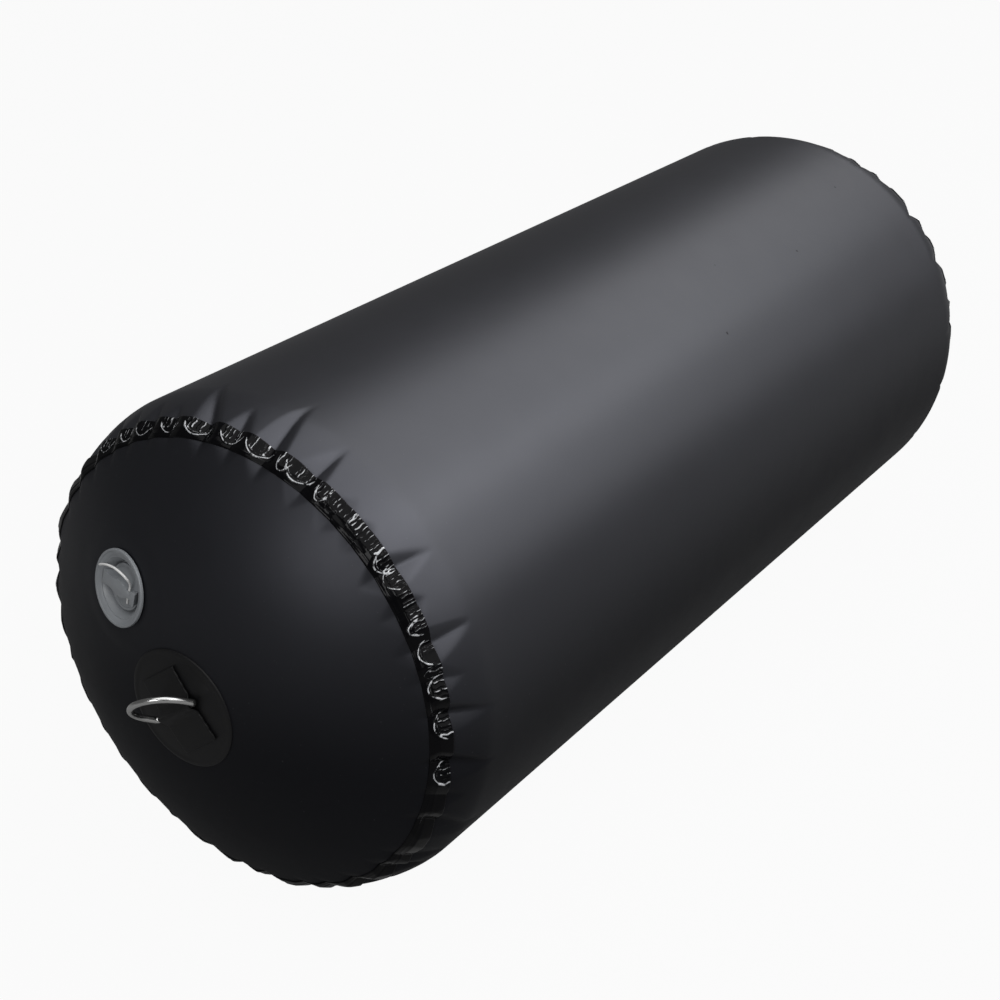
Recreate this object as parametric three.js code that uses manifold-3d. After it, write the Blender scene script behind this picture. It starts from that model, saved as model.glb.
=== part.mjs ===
// A pneumatic fender: a closed cylinder of black PVC-coated sheet, blown up hard, that hangs or floats
// between a hull and whatever it lies against. The sheet is a welded sleeve with a round disc in each end.
// The sleeve is gathered onto the smaller discs, so it puckers all round both seams, and a glossy tape is
// welded over each seam. A stainless D-ring is held by a strap on each disc, and the front disc carries a
// screw-in inflation valve with a winged cap on a cord.
//
// Millimetres, +Z up. The long axis lies along X with the valve end at -X. The origin is under the middle
// of the body, on the surface that the fender rests on.

import * as THREE from 'three';
import { mergeVertices } from 'three/addons/utils/BufferGeometryUtils.js';
import Module from 'manifold-3d';

const wasm = await Module();
wasm.setup();

// Inflated body
const BODY_RADIUS = 225;
const SEAM_FROM_MIDDLE = 518;
const SHOULDER_LENGTH = 47;
const SHOULDER_DROP = 16.6;
const SHOULDER_POWER = 1.58;
const DOME_HEIGHT = 63.5;
const DOME_POWER = 2.35;
const REST_FLAT_DEPTH = 3;

// Sheet and welded strips
const SHEET = 1;
const TAPE_THICKNESS = 0.8;
const TAPE_ON_SLEEVE = 10.5;
const TAPE_ON_DISC = 6.5;
const STRIP_THICKNESS = 0.8;
const STRIP_HALF_STEPS = 1;
const STRIP_STEP = 27;
const GAP = 0.3;

// Gathers: facets round the body, and the creases that run from each seam
const STEPS_ROUND = 80;
const CREASE_COUNT = 36;
const CREASE_SHIFT = 0.3;
const CREASE_DEPTH = 5.5;
const CREASE_DEPTH_SPREAD = 1.8;
const CREASE_LENGTH = 62;
const CREASE_LENGTH_SPREAD = 24;
const CREASE_ON_DISC = 30;
const CREASE_HALF_WIDTH = 1.3;
const SLEEVE_ROWS = [TAPE_ON_SLEEVE, 26, SHOULDER_LENGTH, 88];
const DISC_RINGS = [40, 75, 110, 145, 178];

// D-ring, its strap and its round patch
const PATCH_RADIUS = 53;
const PATCH_THICKNESS = 1.2;
const PATCH_EDGE = 2;
const PATCH_OFFSET_SIDE = -2;
const PATCH_OFFSET_UP = -9;
const STRAP_WIDTH = 44;
const STRAP_LENGTH = 68;
const STRAP_THICKNESS = 2;
const WIRE_RADIUS = 2.75;
const RING_WIDTH = 54;
const RING_REACH = 38;
const RING_CORNER = 4;
const RING_TURN = 37;
const RING_LEAN = 36;

// Valve, measured outwards from the sheet along its own axis
const VALVE_FROM_AXIS = 103;
const VALVE_ANGLE = 43.5;
const FLANGE_RADIUS = 32.5;
const FLANGE_HEIGHT = 2.5;
const FLANGE_CORNER = 0.6;
const FLANGE_RIM = 2.2;
const DISH_START = 1.5;
const BARREL_RADIUS = 25.5;
const BARREL_DEPTH = 11.5;
const CUP_RADIUS = 20.4;
const CUP_DEPTH = 9;
const SOCKET_RADIUS = 13;
const SOCKET_DEPTH = 28;
const SOCKET_WALL = 3;
const SEAT_RADIUS = 10;
const SEAT_THICKNESS = 2;
const WASHER_THICKNESS = 1.5;
const NUT_THICKNESS = 4;
const NUT_RADIUS = 31;
const GUIDE_DEPTH = 24;
const GUIDE_THICKNESS = 2;
const GUIDE_HUB_RADIUS = 4.8;
const GUIDE_ARM_WIDTH = 3;
const STEM_RADIUS = 2;
const BUTTON_RADIUS = 4.5;
const BUTTON_THICKNESS = 1.8;
const BUTTON_DEPTH = 12;
const PLUG_RADIUS = 6;
const PLUG_THICKNESS = 1.5;
const POPPET_RADIUS = 12;
const POPPET_THICKNESS = 2;
const SPRING_TURNS = 3;
const SPRING_WIRE = 0.35;
const SPRING_RADIUS = 3.4;

// Winged cap and its cord
const CAP_RADIUS = 19.6;
const CAP_THICKNESS = 2.6;
const CAP_CORNER = 0.5;
const CAP_SEAL_MARGIN = 0.6;
const CAP_SEAL_THICKNESS = 1;
const CAP_SKIRT_RADIUS = 12.6;
const CAP_SKIRT_WALL = 2;
const CAP_SKIRT_DEPTH = 1.6;
const WING_TOP = 2;
const WING_HALF_LENGTH = 22.5;
const WING_FOOT_HALF_LENGTH = 18;
const WING_CHAMFER = 3;
const WING_TURN = -9;
const CORD_RADIUS = 1;
const CORD_HOLE_RADIUS = 1.5;
const CORD_HOLE_ALONG = 10.5;
const CORD_HOLE_LEVEL = -1.2;
const CORD_HOLE_FACETS = 12;

// Facets round small turned pieces
const FINE = 32;
const MEDIUM = 24;
const COARSE = 12;
const WIRE_SIDES = 8;
const RING_STEPS = 44;
const CORD_STEPS = 30;
const SPRING_SIDES = 5;
const SPRING_STEPS = 9;

const STEP_ANGLE = (2 * Math.PI) / STEPS_ROUND;
const SEAM_RADIUS = BODY_RADIUS - SHOULDER_DROP;
const REST_LEVEL = BODY_RADIUS - REST_FLAT_DEPTH;
const degrees = THREE.MathUtils.degToRad;

const colours = {
  sheet: new THREE.MeshStandardMaterial({ color: 0x17181b, roughness: 0.5, metalness: 0 }),
  tape: new THREE.MeshStandardMaterial({ color: 0x0b0b0d, roughness: 0.15, metalness: 0 }),
  patch: new THREE.MeshStandardMaterial({ color: 0x131416, roughness: 0.4, metalness: 0 }),
  steel: new THREE.MeshStandardMaterial({ color: 0xb9bbbd, roughness: 0.25, metalness: 1 }),
  grey: new THREE.MeshStandardMaterial({ color: 0x74777b, roughness: 0.45, metalness: 0 }),
  rubber: new THREE.MeshStandardMaterial({ color: 0x1c1c1c, roughness: 0.8, metalness: 0 }),
  cord: new THREE.MeshStandardMaterial({ color: 0xe8e8e4, roughness: 0.6, metalness: 0 }),
};

// Solids: a welded copy of a geometry, and cuts and joins between such copies

function weld(geometry) {
  const bare = geometry.index ? geometry.toNonIndexed() : geometry.clone();
  bare.deleteAttribute('normal');
  bare.deleteAttribute('uv');
  const welded = mergeVertices(bare, 1e-3);
  const corners = welded.index.array;
  const kept = [];
  for (let i = 0; i < corners.length; i += 3) {
    const [a, b, c] = [corners[i], corners[i + 1], corners[i + 2]];
    if (a !== b && b !== c && c !== a) kept.push(a, b, c);
  }
  welded.setIndex(kept);
  return welded;
}

function toManifold(geometry) {
  const welded = weld(geometry);
  return new wasm.Manifold(new wasm.Mesh({
    numProp: 3,
    vertProperties: Float32Array.from(welded.attributes.position.array),
    triVerts: Uint32Array.from(welded.index.array),
  }));
}

function fromManifold(solid) {
  const mesh = solid.getMesh();
  const geometry = new THREE.BufferGeometry();
  geometry.setAttribute('position', new THREE.BufferAttribute(mesh.vertProperties, 3));
  geometry.setIndex(new THREE.BufferAttribute(mesh.triVerts, 1));
  return geometry;
}

function named(name, geometry, material) {
  const mesh = new THREE.Mesh(weld(geometry), material);
  mesh.geometry.computeVertexNormals();
  mesh.name = name;
  return mesh;
}

function moveEachPoint(geometry, move) {
  const place = geometry.attributes.position;
  const point = new THREE.Vector3();
  for (let i = 0; i < place.count; i += 1) {
    point.fromBufferAttribute(place, i);
    move(point);
    place.setXYZ(i, point.x, point.y, point.z);
  }
  return geometry;
}

// The inflated outline, as (radius, distance from the middle). A positive reach runs from the seam along
// the sleeve, and a negative one runs from the seam in over the disc.

function sleeveRadius(fromMiddle) {
  const share = Math.max(0, (fromMiddle - SEAM_FROM_MIDDLE + SHOULDER_LENGTH) / SHOULDER_LENGTH);
  return BODY_RADIUS - SHOULDER_DROP * share ** SHOULDER_POWER;
}

function domeHeight(radius) {
  return SEAM_FROM_MIDDLE + DOME_HEIGHT * (1 - (Math.abs(radius) / SEAM_RADIUS) ** DOME_POWER);
}

function outline(reach) {
  if (reach < 0) return new THREE.Vector2(SEAM_RADIUS + reach, domeHeight(SEAM_RADIUS + reach));
  return new THREE.Vector2(sleeveRadius(SEAM_FROM_MIDDLE - reach), SEAM_FROM_MIDDLE - reach);
}

function raised(reach, height) {
  const along = outline(reach - 1).sub(outline(reach + 1)).normalize();
  const outwards = new THREE.Vector2(along.y, -along.x).multiplyScalar(height);
  const point = outline(reach).add(outwards);
  return new THREE.Vector2(Math.max(0, point.x), point.y);
}

// Creases start at a seam and die out along the sheet. Each has its own place, depth and length. Three
// sines of unlike pace give them, so that no two neighbours are alike.

const PLACE_PACE = 2.4;
const DEPTH_PACE = 1.7;
const LENGTH_PACE = 3.1;

function crease(end, number) {
  const gap = STEPS_ROUND / CREASE_COUNT;
  return {
    step: Math.round(number * gap + CREASE_SHIFT * Math.sin(number * PLACE_PACE + end)),
    depth: CREASE_DEPTH + CREASE_DEPTH_SPREAD * Math.sin(number * DEPTH_PACE + end),
    length: CREASE_LENGTH + CREASE_LENGTH_SPREAD * Math.sin(number * LENGTH_PACE - end),
  };
}

const creases = { 1: [], '-1': [] };
for (const end of [1, -1]) {
  for (let number = 0; number < CREASE_COUNT; number += 1) creases[end].push(crease(end, number));
}

function gatherDepth(end, step, reach) {
  let depth = 0;
  for (const one of creases[end]) {
    const turn = Math.abs(step - one.step) % STEPS_ROUND;
    const away = Math.min(turn, STEPS_ROUND - turn);
    const across = Math.max(0, 1 - away / CREASE_HALF_WIDTH);
    const reachLimit = reach >= 0 ? one.length : CREASE_ON_DISC;
    const along = Math.max(0, 1 - Math.abs(reach) / reachLimit);
    depth += one.depth * across * along;
  }
  return depth;
}

const INWARDS_AT_SEAM = degrees(45);

function gather(geometry) {
  return moveEachPoint(geometry, (point) => {
    const end = Math.sign(point.x) || 1;
    const radius = Math.hypot(point.y, point.z);
    if (radius < CREASE_ON_DISC) return;
    const fromMiddle = Math.abs(point.x);
    const reach = SEAM_FROM_MIDDLE - fromMiddle + radius - SEAM_RADIUS;
    const angle = Math.atan2(point.y, point.z);
    const step = (Math.round(angle / STEP_ANGLE) + STEPS_ROUND) % STEPS_ROUND;
    const depth = gatherDepth(end, step, reach);
    const shrink = 1 - (depth * Math.cos(INWARDS_AT_SEAM)) / radius;
    point.set(end * (fromMiddle - depth * Math.sin(INWARDS_AT_SEAM)), point.y * shrink, point.z * shrink);
  });
}

// Turned about the long axis: a lathe profile is (radius, place along X). Where the profile runs back
// towards -X each facet is split the other way, so that a layer's two sides have the same folds and the
// layers nest.

function turnedAlongX(profile) {
  const turned = new THREE.LatheGeometry(profile, STEPS_ROUND);
  const corners = turned.index.array;
  const rows = profile.length;
  for (let i = 0; i < corners.length; i += 6) {
    const [a, b, d, c] = corners.slice(i, i + 4);
    if (profile[d % rows].y < profile[a % rows].y) corners.set([a, b, c, a, c, d], i);
  }
  return turned.rotateZ(-Math.PI / 2);
}

// A layer of sheet over the outline, from height low to height high, closed into a ring

function sleeveLayer(reaches, low, high) {
  const mirrored = ([...points]) => points.reverse().map((p) => new THREE.Vector2(p.x, -p.y));
  const upper = reaches.map((reach) => raised(reach, high));
  const lower = reaches.map((reach) => raised(reach, low));
  const top = [...mirrored(upper).reverse(), ...[...upper].reverse()];
  const under = [...lower, ...mirrored(lower)];
  return turnedAlongX([...top, ...under, top[0].clone()]);
}

function restFlat(geometry) {
  return moveEachPoint(geometry, (point) => {
    const radius = Math.hypot(point.y, point.z);
    const buried = sleeveRadius(Math.abs(point.x)) - radius;
    point.z = Math.max(point.z, buried - REST_LEVEL);
  });
}

function makeSleeve() {
  const layer = sleeveLayer([GAP / 2, ...SLEEVE_ROWS], -SHEET, 0);
  return named('sleeve', gather(restFlat(layer)), colours.sheet);
}

// The sleeve is one sheet rolled up. A strip is welded over its long joint, on the side away from view.

function makeSleeveStrip() {
  const rows = SLEEVE_ROWS.map((row, i) => (i === 0 ? row + GAP : row));
  const skin = gather(sleeveLayer(rows, GAP, GAP + STRIP_THICKNESS));
  const middle = STRIP_STEP * STEP_ANGLE;
  const spread = STRIP_HALF_STEPS * STEP_ANGLE;
  const far = 2 * BODY_RADIUS;
  const wedge = new THREE.Shape([
    new THREE.Vector2(0, 0),
    new THREE.Vector2(far * Math.sin(middle - spread), far * Math.cos(middle - spread)),
    new THREE.Vector2(far * Math.sin(middle + spread), far * Math.cos(middle + spread)),
  ]);
  const length = 2 * SEAM_FROM_MIDDLE;
  const sector = new THREE.ExtrudeGeometry(wedge, { depth: length, bevelEnabled: false });
  sector.translate(0, 0, -length / 2).rotateX(Math.PI / 2).rotateZ(Math.PI / 2);
  const cut = toManifold(skin).intersect(toManifold(sector));
  return named('sleeve_joint_strip', fromManifold(cut), colours.tape);
}

function forEnd(end, geometry) {
  return end < 0 ? geometry.rotateZ(Math.PI) : geometry;
}

function makeDisc(name, end, hole) {
  const reaches = [-GAP / 2, -TAPE_ON_DISC, ...[...DISC_RINGS].reverse().map((r) => r - SEAM_RADIUS)];
  const upper = reaches.map((reach) => raised(reach, 0));
  const lower = reaches.map((reach) => raised(reach, -SHEET));
  const apex = domeHeight(0);
  const profile = [
    new THREE.Vector2(0, apex - SHEET), ...lower.reverse(), ...upper, new THREE.Vector2(0, apex),
  ];
  const disc = gather(forEnd(end, turnedAlongX(profile)));
  const solid = hole ? fromManifold(toManifold(disc).subtract(hole)) : disc;
  return named(name, solid, colours.sheet);
}

function makeSeamTape(name, end) {
  const reaches = [TAPE_ON_SLEEVE, 0, -TAPE_ON_DISC];
  const upper = reaches.map((reach) => raised(reach, GAP + TAPE_THICKNESS));
  const lower = reaches.map((reach) => raised(reach, GAP));
  const profile = [...lower.reverse(), ...upper, lower[0].clone()];
  return named(name, gather(forEnd(end, turnedAlongX(profile))), colours.tape);
}

// Each end has its own frame: +Z points out along the long axis, +Y is up, and heights are measured from
// the middle of the body. The faceted disc is what the fittings there lie on.

function discHeight(radius) {
  const rings = [0, ...DISC_RINGS, SEAM_RADIUS - TAPE_ON_DISC];
  const next = rings.findIndex((ring) => ring > radius);
  if (next < 1) return domeHeight(radius);
  const share = (radius - rings[next - 1]) / (rings[next] - rings[next - 1]);
  return THREE.MathUtils.lerp(domeHeight(rings[next - 1]), domeHeight(rings[next]), share);
}

function endFrame(end) {
  const group = new THREE.Group();
  const side = new THREE.Vector3(0, end, 0);
  const up = new THREE.Vector3(0, 0, 1);
  const out = new THREE.Vector3(end, 0, 0);
  group.quaternion.setFromRotationMatrix(new THREE.Matrix4().makeBasis(side, up, out));
  return group;
}

function turnedAlongZ(profile, facets) {
  const points = profile.map(([radius, height]) => new THREE.Vector2(radius, height));
  return new THREE.LatheGeometry(points, facets).rotateX(Math.PI / 2);
}

// The D-ring's straight side lies in a tunnel where the strap crosses it. In the fittings' own frame +X
// runs along that bar, +Y along the strap and +Z out.

const patchFoot = GAP;
const patchTop = patchFoot + PATCH_THICKNESS;
const strapFoot = patchTop + GAP;
const strapTop = strapFoot + STRAP_THICKNESS;
const barHeight = strapFoot + WIRE_RADIUS;
const tunnelRadius = WIRE_RADIUS + GAP;

// Stands a shape up: its x becomes +Y, its y becomes +Z, and it is extruded along +X
const stoodUp = new THREE.Matrix4().makeBasis(
  new THREE.Vector3(0, 1, 0), new THREE.Vector3(0, 0, 1), new THREE.Vector3(1, 0, 0),
);

const fromAxis = (x, y) => Math.hypot(x + PATCH_OFFSET_SIDE, y + PATCH_OFFSET_UP);

function makePatch(name) {
  const inside = PATCH_RADIUS - PATCH_EDGE;
  const fifths = [1, 2, 3, 4, 5].map((count) => (inside * count) / 5);
  const under = [...fifths, PATCH_RADIUS];
  const over = [inside, (inside * 2) / 3, inside / 3];
  const patch = turnedAlongZ([
    [0, patchFoot], ...under.map((radius) => [radius, patchFoot]),
    [PATCH_RADIUS, (patchFoot + patchTop) / 2], ...over.map((radius) => [radius, patchTop]), [0, patchTop],
  ], FINE);
  moveEachPoint(patch, (point) => { point.z += discHeight(fromAxis(point.x, point.y)); });
  return named(name, patch, colours.patch);
}

function strapSection() {
  const half = STRAP_LENGTH / 2;
  const stops = [half, (half * 2) / 3, half / 3];
  const outside = tunnelRadius + STRAP_THICKNESS;
  const section = new THREE.Shape();
  section.moveTo(-half, strapFoot);
  for (const stop of stops.slice(1)) section.lineTo(-stop, strapFoot);
  section.lineTo(-tunnelRadius, strapFoot);
  section.absarc(0, barHeight, tunnelRadius, Math.PI, 0, true);
  section.lineTo(tunnelRadius, strapFoot);
  for (const stop of [...stops].reverse()) section.lineTo(stop, strapFoot);
  for (const stop of stops) section.lineTo(stop, strapTop);
  section.lineTo(outside, strapTop);
  section.absarc(0, barHeight, outside, 0, Math.PI, false);
  section.lineTo(-outside, strapTop);
  for (const stop of [...stops].reverse()) section.lineTo(-stop, strapTop);
  section.closePath();
  return section;
}

// The strap's two wings follow the disc, and its tunnel stays straight round the bar
function makeStrap(name) {
  const turn = degrees(RING_TURN);
  const strap = new THREE.ExtrudeGeometry(strapSection(), {
    depth: STRAP_WIDTH, bevelEnabled: false, steps: 4, curveSegments: 6,
  });
  strap.translate(0, 0, -STRAP_WIDTH / 2).applyMatrix4(stoodUp);
  const onWing = (point) => point.z < strapTop + GAP / 2;
  moveEachPoint(strap, (point) => {
    const x = point.x * Math.cos(turn) - point.y * Math.sin(turn);
    const y = point.x * Math.sin(turn) + point.y * Math.cos(turn);
    point.z += discHeight(onWing(point) ? fromAxis(x, y) : 0);
  });
  return named(name, strap.rotateZ(turn), colours.patch);
}

// A closed loop in the plane of the ring, which leans from straight out towards +Y
class RingLoop extends THREE.Curve {
  constructor(path, lean) {
    super();
    this.path = path;
    this.lean = lean;
  }

  getPoint(share, target = new THREE.Vector3()) {
    const flat = this.path.getPointAt(share);
    return target.set(flat.x, flat.y * Math.sin(this.lean), flat.y * Math.cos(this.lean));
  }
}

function makeRing(name) {
  const half = RING_WIDTH / 2;
  const path = new THREE.Path();
  path.moveTo(0, 0);
  path.lineTo(half - RING_CORNER, 0);
  path.absarc(half - RING_CORNER, RING_CORNER, RING_CORNER, -Math.PI / 2, 0, false);
  path.lineTo(half, RING_REACH - half);
  path.absarc(0, RING_REACH - half, half, 0, Math.PI, false);
  path.lineTo(-half, RING_CORNER);
  path.absarc(-half + RING_CORNER, RING_CORNER, RING_CORNER, Math.PI, Math.PI * 1.5, false);
  path.lineTo(0, 0);
  const loop = new RingLoop(path, degrees(RING_LEAN));
  const ring = new THREE.TubeGeometry(loop, RING_STEPS, WIRE_RADIUS, WIRE_SIDES, true);
  ring.rotateZ(degrees(RING_TURN)).translate(0, 0, discHeight(0) + barHeight);
  return named(name, ring, colours.steel);
}

function ringFittings(prefix) {
  const fittings = new THREE.Group();
  fittings.position.set(PATCH_OFFSET_SIDE, PATCH_OFFSET_UP, 0);
  fittings.add(
    makePatch(`${prefix}_ring_patch`), makeStrap(`${prefix}_ring_strap`), makeRing(`${prefix}_d_ring`),
  );
  return fittings;
}

// The valve stands square to the dome. Heights are along its axis, from the outside of the sheet.

const valveSide = -VALVE_FROM_AXIS * Math.sin(degrees(VALVE_ANGLE));
const valveUp = VALVE_FROM_AXIS * Math.cos(degrees(VALVE_ANGLE));

function valveFrame() {
  const slope = (domeHeight(VALVE_FROM_AXIS - 1) - domeHeight(VALVE_FROM_AXIS + 1)) / 2;
  const normal = new THREE.Vector3(
    (slope * valveSide) / VALVE_FROM_AXIS, (slope * valveUp) / VALVE_FROM_AXIS, 1,
  ).normalize();
  const group = new THREE.Group();
  group.quaternion.setFromUnitVectors(new THREE.Vector3(0, 0, 1), normal);
  group.position.set(valveSide, valveUp, discHeight(VALVE_FROM_AXIS));
  group.updateMatrix();
  return group;
}

const valve = valveFrame();

// How far the disc's outside lies from the valve's own plane, at (x, y) in it
function discFromPlane(x, y) {
  let height = 0;
  for (let round = 0; round < 8; round += 1) {
    const point = new THREE.Vector3(x, y, height).applyMatrix4(valve.matrix);
    height -= point.z - discHeight(Math.hypot(point.x, point.y));
  }
  return height;
}

const laidOnDisc = (point) => { point.z += discFromPlane(point.x, point.y); };

// A ring of rectangular section between two radii and two heights
function washer(inner, outer, low, high, facets) {
  return turnedAlongZ([[inner, low], [outer, low], [outer, high], [inner, high], [inner, low]], facets);
}

function makeValveBody() {
  const lip = BARREL_RADIUS + GAP / 2;
  const profile = [
    [FLANGE_RADIUS, GAP], [FLANGE_RADIUS, FLANGE_HEIGHT - FLANGE_CORNER],
    [FLANGE_RADIUS - FLANGE_CORNER, FLANGE_HEIGHT], [FLANGE_RADIUS - FLANGE_RIM, FLANGE_HEIGHT],
    [lip + DISH_START, DISH_START], [(lip + CUP_RADIUS) / 2, -CUP_DEPTH / 4],
    [CUP_RADIUS, -CUP_DEPTH], [SOCKET_RADIUS, -CUP_DEPTH],
    [SOCKET_RADIUS, SEAT_THICKNESS - SOCKET_DEPTH], [SEAT_RADIUS, SEAT_THICKNESS - SOCKET_DEPTH],
    [SEAT_RADIUS, -SOCKET_DEPTH], [SOCKET_RADIUS + SOCKET_WALL, -SOCKET_DEPTH],
    [SOCKET_RADIUS + SOCKET_WALL, -BARREL_DEPTH], [BARREL_RADIUS, -BARREL_DEPTH], [BARREL_RADIUS, GAP],
    [FLANGE_RADIUS, GAP],
  ];
  const body = turnedAlongZ(profile, FINE);
  const edge = BARREL_RADIUS * Math.cos(Math.PI / FINE) - GAP / 2;
  moveEachPoint(body, (point) => {
    if (point.z > 0 && Math.hypot(point.x, point.y) > edge) laidOnDisc(point);
  });
  return named('valve_body', body, colours.grey);
}

const washerTop = -SHEET - GAP;
const washerFoot = washerTop - WASHER_THICKNESS;

function makeWasher() {
  const ring = washer(BARREL_RADIUS + GAP, NUT_RADIUS + 1, washerFoot, washerTop, FINE);
  return named('valve_washer', moveEachPoint(ring, laidOnDisc), colours.rubber);
}

function makeNut() {
  const corners = turnedAlongZ([[NUT_RADIUS, 0], [NUT_RADIUS, 0]], COARSE).attributes.position;
  let lowest = 0;
  for (let i = 0; i < corners.count; i += 1) {
    lowest = Math.min(lowest, discFromPlane(corners.getX(i), corners.getY(i)));
  }
  const top = washerFoot - GAP + lowest;
  const nut = washer(BARREL_RADIUS + GAP, NUT_RADIUS, top - NUT_THICKNESS, top, FINE);
  return named('valve_back_nut', nut, colours.grey);
}

function upright(radius, low, high, facets) {
  const rod = new THREE.CylinderGeometry(radius, radius, high - low, facets);
  return rod.rotateX(Math.PI / 2).translate(0, 0, (low + high) / 2);
}

function makeGuide() {
  const low = -GUIDE_DEPTH;
  const high = low + GUIDE_THICKNESS;
  const reach = SOCKET_RADIUS * Math.cos(Math.PI / FINE) - GAP;
  let guide = toManifold(upright(GUIDE_HUB_RADIUS, low, high, MEDIUM));
  for (let arm = 0; arm < 3; arm += 1) {
    const bar = new THREE.BoxGeometry(reach, GUIDE_ARM_WIDTH, GUIDE_THICKNESS);
    bar.translate(reach / 2, 0, (low + high) / 2).rotateZ((arm * 2 * Math.PI) / 3);
    guide = guide.add(toManifold(bar));
  }
  const round = toManifold(upright(reach, low, high, FINE));
  const hole = toManifold(upright(STEM_RADIUS + GAP, low - 1, high + 1, COARSE));
  return named('valve_stem_guide', fromManifold(guide.intersect(round).subtract(hole)), colours.grey);
}

const poppetTop = -SOCKET_DEPTH - GAP;
const poppetFoot = poppetTop - POPPET_THICKNESS;
const plugTop = poppetFoot - GAP;
const buttonFoot = -BUTTON_DEPTH - BUTTON_THICKNESS;

function makeStem() {
  const foot = plugTop - PLUG_THICKNESS;
  const profile = [
    [0, foot], [PLUG_RADIUS, foot], [PLUG_RADIUS, plugTop], [STEM_RADIUS, plugTop],
    [STEM_RADIUS, buttonFoot], [BUTTON_RADIUS, buttonFoot], [BUTTON_RADIUS, -BUTTON_DEPTH],
    [0, -BUTTON_DEPTH],
  ];
  return named('valve_stem', turnedAlongZ(profile, COARSE), colours.grey);
}

function makePoppet() {
  const ring = washer(STEM_RADIUS + GAP, POPPET_RADIUS, poppetFoot, poppetTop, MEDIUM);
  return named('valve_poppet_seal', ring, colours.rubber);
}

class Helix extends THREE.Curve {
  constructor(radius, low, high, turns) {
    super();
    Object.assign(this, { radius, low, high, turns });
  }

  getPoint(share, target = new THREE.Vector3()) {
    const angle = share * this.turns * 2 * Math.PI;
    const height = THREE.MathUtils.lerp(this.low, this.high, share);
    return target.set(this.radius * Math.cos(angle), this.radius * Math.sin(angle), height);
  }
}

function wire(path, radius, sides, steps) {
  const section = new THREE.Shape();
  for (let side = 0; side < sides; side += 1) {
    const angle = (side * 2 * Math.PI) / sides;
    const corner = [radius * Math.cos(angle), radius * Math.sin(angle)];
    if (side) section.lineTo(...corner);
    else section.moveTo(...corner);
  }
  section.closePath();
  return new THREE.ExtrudeGeometry(section, { steps, bevelEnabled: false, extrudePath: path });
}

function makeSpring() {
  const low = -GUIDE_DEPTH + GUIDE_THICKNESS + GAP + SPRING_WIRE;
  const high = buttonFoot - GAP - SPRING_WIRE;
  const helix = new Helix(SPRING_RADIUS, low, high, SPRING_TURNS);
  const spring = wire(helix, SPRING_WIRE, SPRING_SIDES, SPRING_TURNS * SPRING_STEPS);
  return named('valve_spring', spring, colours.steel);
}

// The winged cap sits in the cup on its seal, with a skirt that screws into the socket
const capSealFoot = -CUP_DEPTH + GAP;
const capFoot = capSealFoot + CAP_SEAL_THICKNESS + GAP;
const capTop = capFoot + CAP_THICKNESS;

function makeCapSeal() {
  const inner = CAP_SKIRT_RADIUS + GAP;
  const outer = CAP_RADIUS - CAP_SEAL_MARGIN;
  const ring = washer(inner, outer, capSealFoot, capSealFoot + CAP_SEAL_THICKNESS, MEDIUM);
  return named('cap_seal', ring, colours.rubber);
}

// Half the wing's plan, as (distance along, half width): a broad tail, a waist, a full middle, a thin neck
// and an end block
const WING_PLAN = [
  [-WING_HALF_LENGTH, 6.5], [-14, 4.6], [-2, 6.6], [8, 5], [13.2, 2.3], [16.2, 2.3], [17.2, 5.8],
  [WING_HALF_LENGTH, 5.8],
];

function makeWing() {
  const plan = new THREE.Shape([
    ...WING_PLAN.map(([along, half]) => new THREE.Vector2(along, -half)),
    ...[...WING_PLAN].reverse().map(([along, half]) => new THREE.Vector2(along, half)),
  ]);
  const foot = (capFoot + capTop) / 2;
  const slab = new THREE.ExtrudeGeometry(plan, { depth: WING_TOP - foot, bevelEnabled: false });
  const envelope = turnedAlongZ([
    [0, foot], [WING_FOOT_HALF_LENGTH, foot], [WING_FOOT_HALF_LENGTH, capTop],
    [WING_HALF_LENGTH, WING_TOP - WING_CHAMFER], [WING_HALF_LENGTH, WING_TOP], [0, WING_TOP],
  ], MEDIUM);
  const hole = upright(CORD_HOLE_RADIUS, -WING_HALF_LENGTH, WING_HALF_LENGTH, CORD_HOLE_FACETS);
  hole.rotateX(Math.PI / 2).translate(CORD_HOLE_ALONG, 0, CORD_HOLE_LEVEL);
  return toManifold(slab.translate(0, 0, foot)).intersect(toManifold(envelope)).subtract(toManifold(hole));
}

function makeCap() {
  const skirtFoot = -CUP_DEPTH - CAP_SKIRT_DEPTH;
  const skirtInside = CAP_SKIRT_RADIUS - CAP_SKIRT_WALL;
  const lid = turnedAlongZ([
    [0, capFoot], [skirtInside, capFoot], [skirtInside, skirtFoot], [CAP_SKIRT_RADIUS, skirtFoot],
    [CAP_SKIRT_RADIUS, capFoot], [CAP_RADIUS, capFoot], [CAP_RADIUS, capTop - CAP_CORNER],
    [CAP_RADIUS - CAP_CORNER, capTop], [0, capTop],
  ], MEDIUM);
  return named('valve_cap', fromManifold(toManifold(lid).add(makeWing())), colours.grey);
}

// The cord runs from the flange, up and round, through the hole in the wing to a short tail. Its points
// are in the cap's own frame, where +X runs along the wing.
const CORD_ROUTE = [
  [-27, 8, 1.6], [-26.3, 8.5, 3.6], [-23, 10.5, 5.6], [-17, 14, 6.8], [-8, 17.5, 7.6], [1, 19, 7.6],
  [8, 17.8, 6.4], [11.6, 14.6, 3.8], [11.6, 10.8, 0.6], [10.7, 6.6, CORD_HOLE_LEVEL],
  [CORD_HOLE_ALONG, 0, CORD_HOLE_LEVEL], [10.4, -6, -1.4], [9.8, -9.5, -2.2],
];

function makeCord() {
  const route = new THREE.CatmullRomCurve3(CORD_ROUTE.map((point) => new THREE.Vector3(...point)));
  return named('cap_cord', wire(route, CORD_RADIUS, WIRE_SIDES, CORD_STEPS), colours.cord);
}

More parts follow.
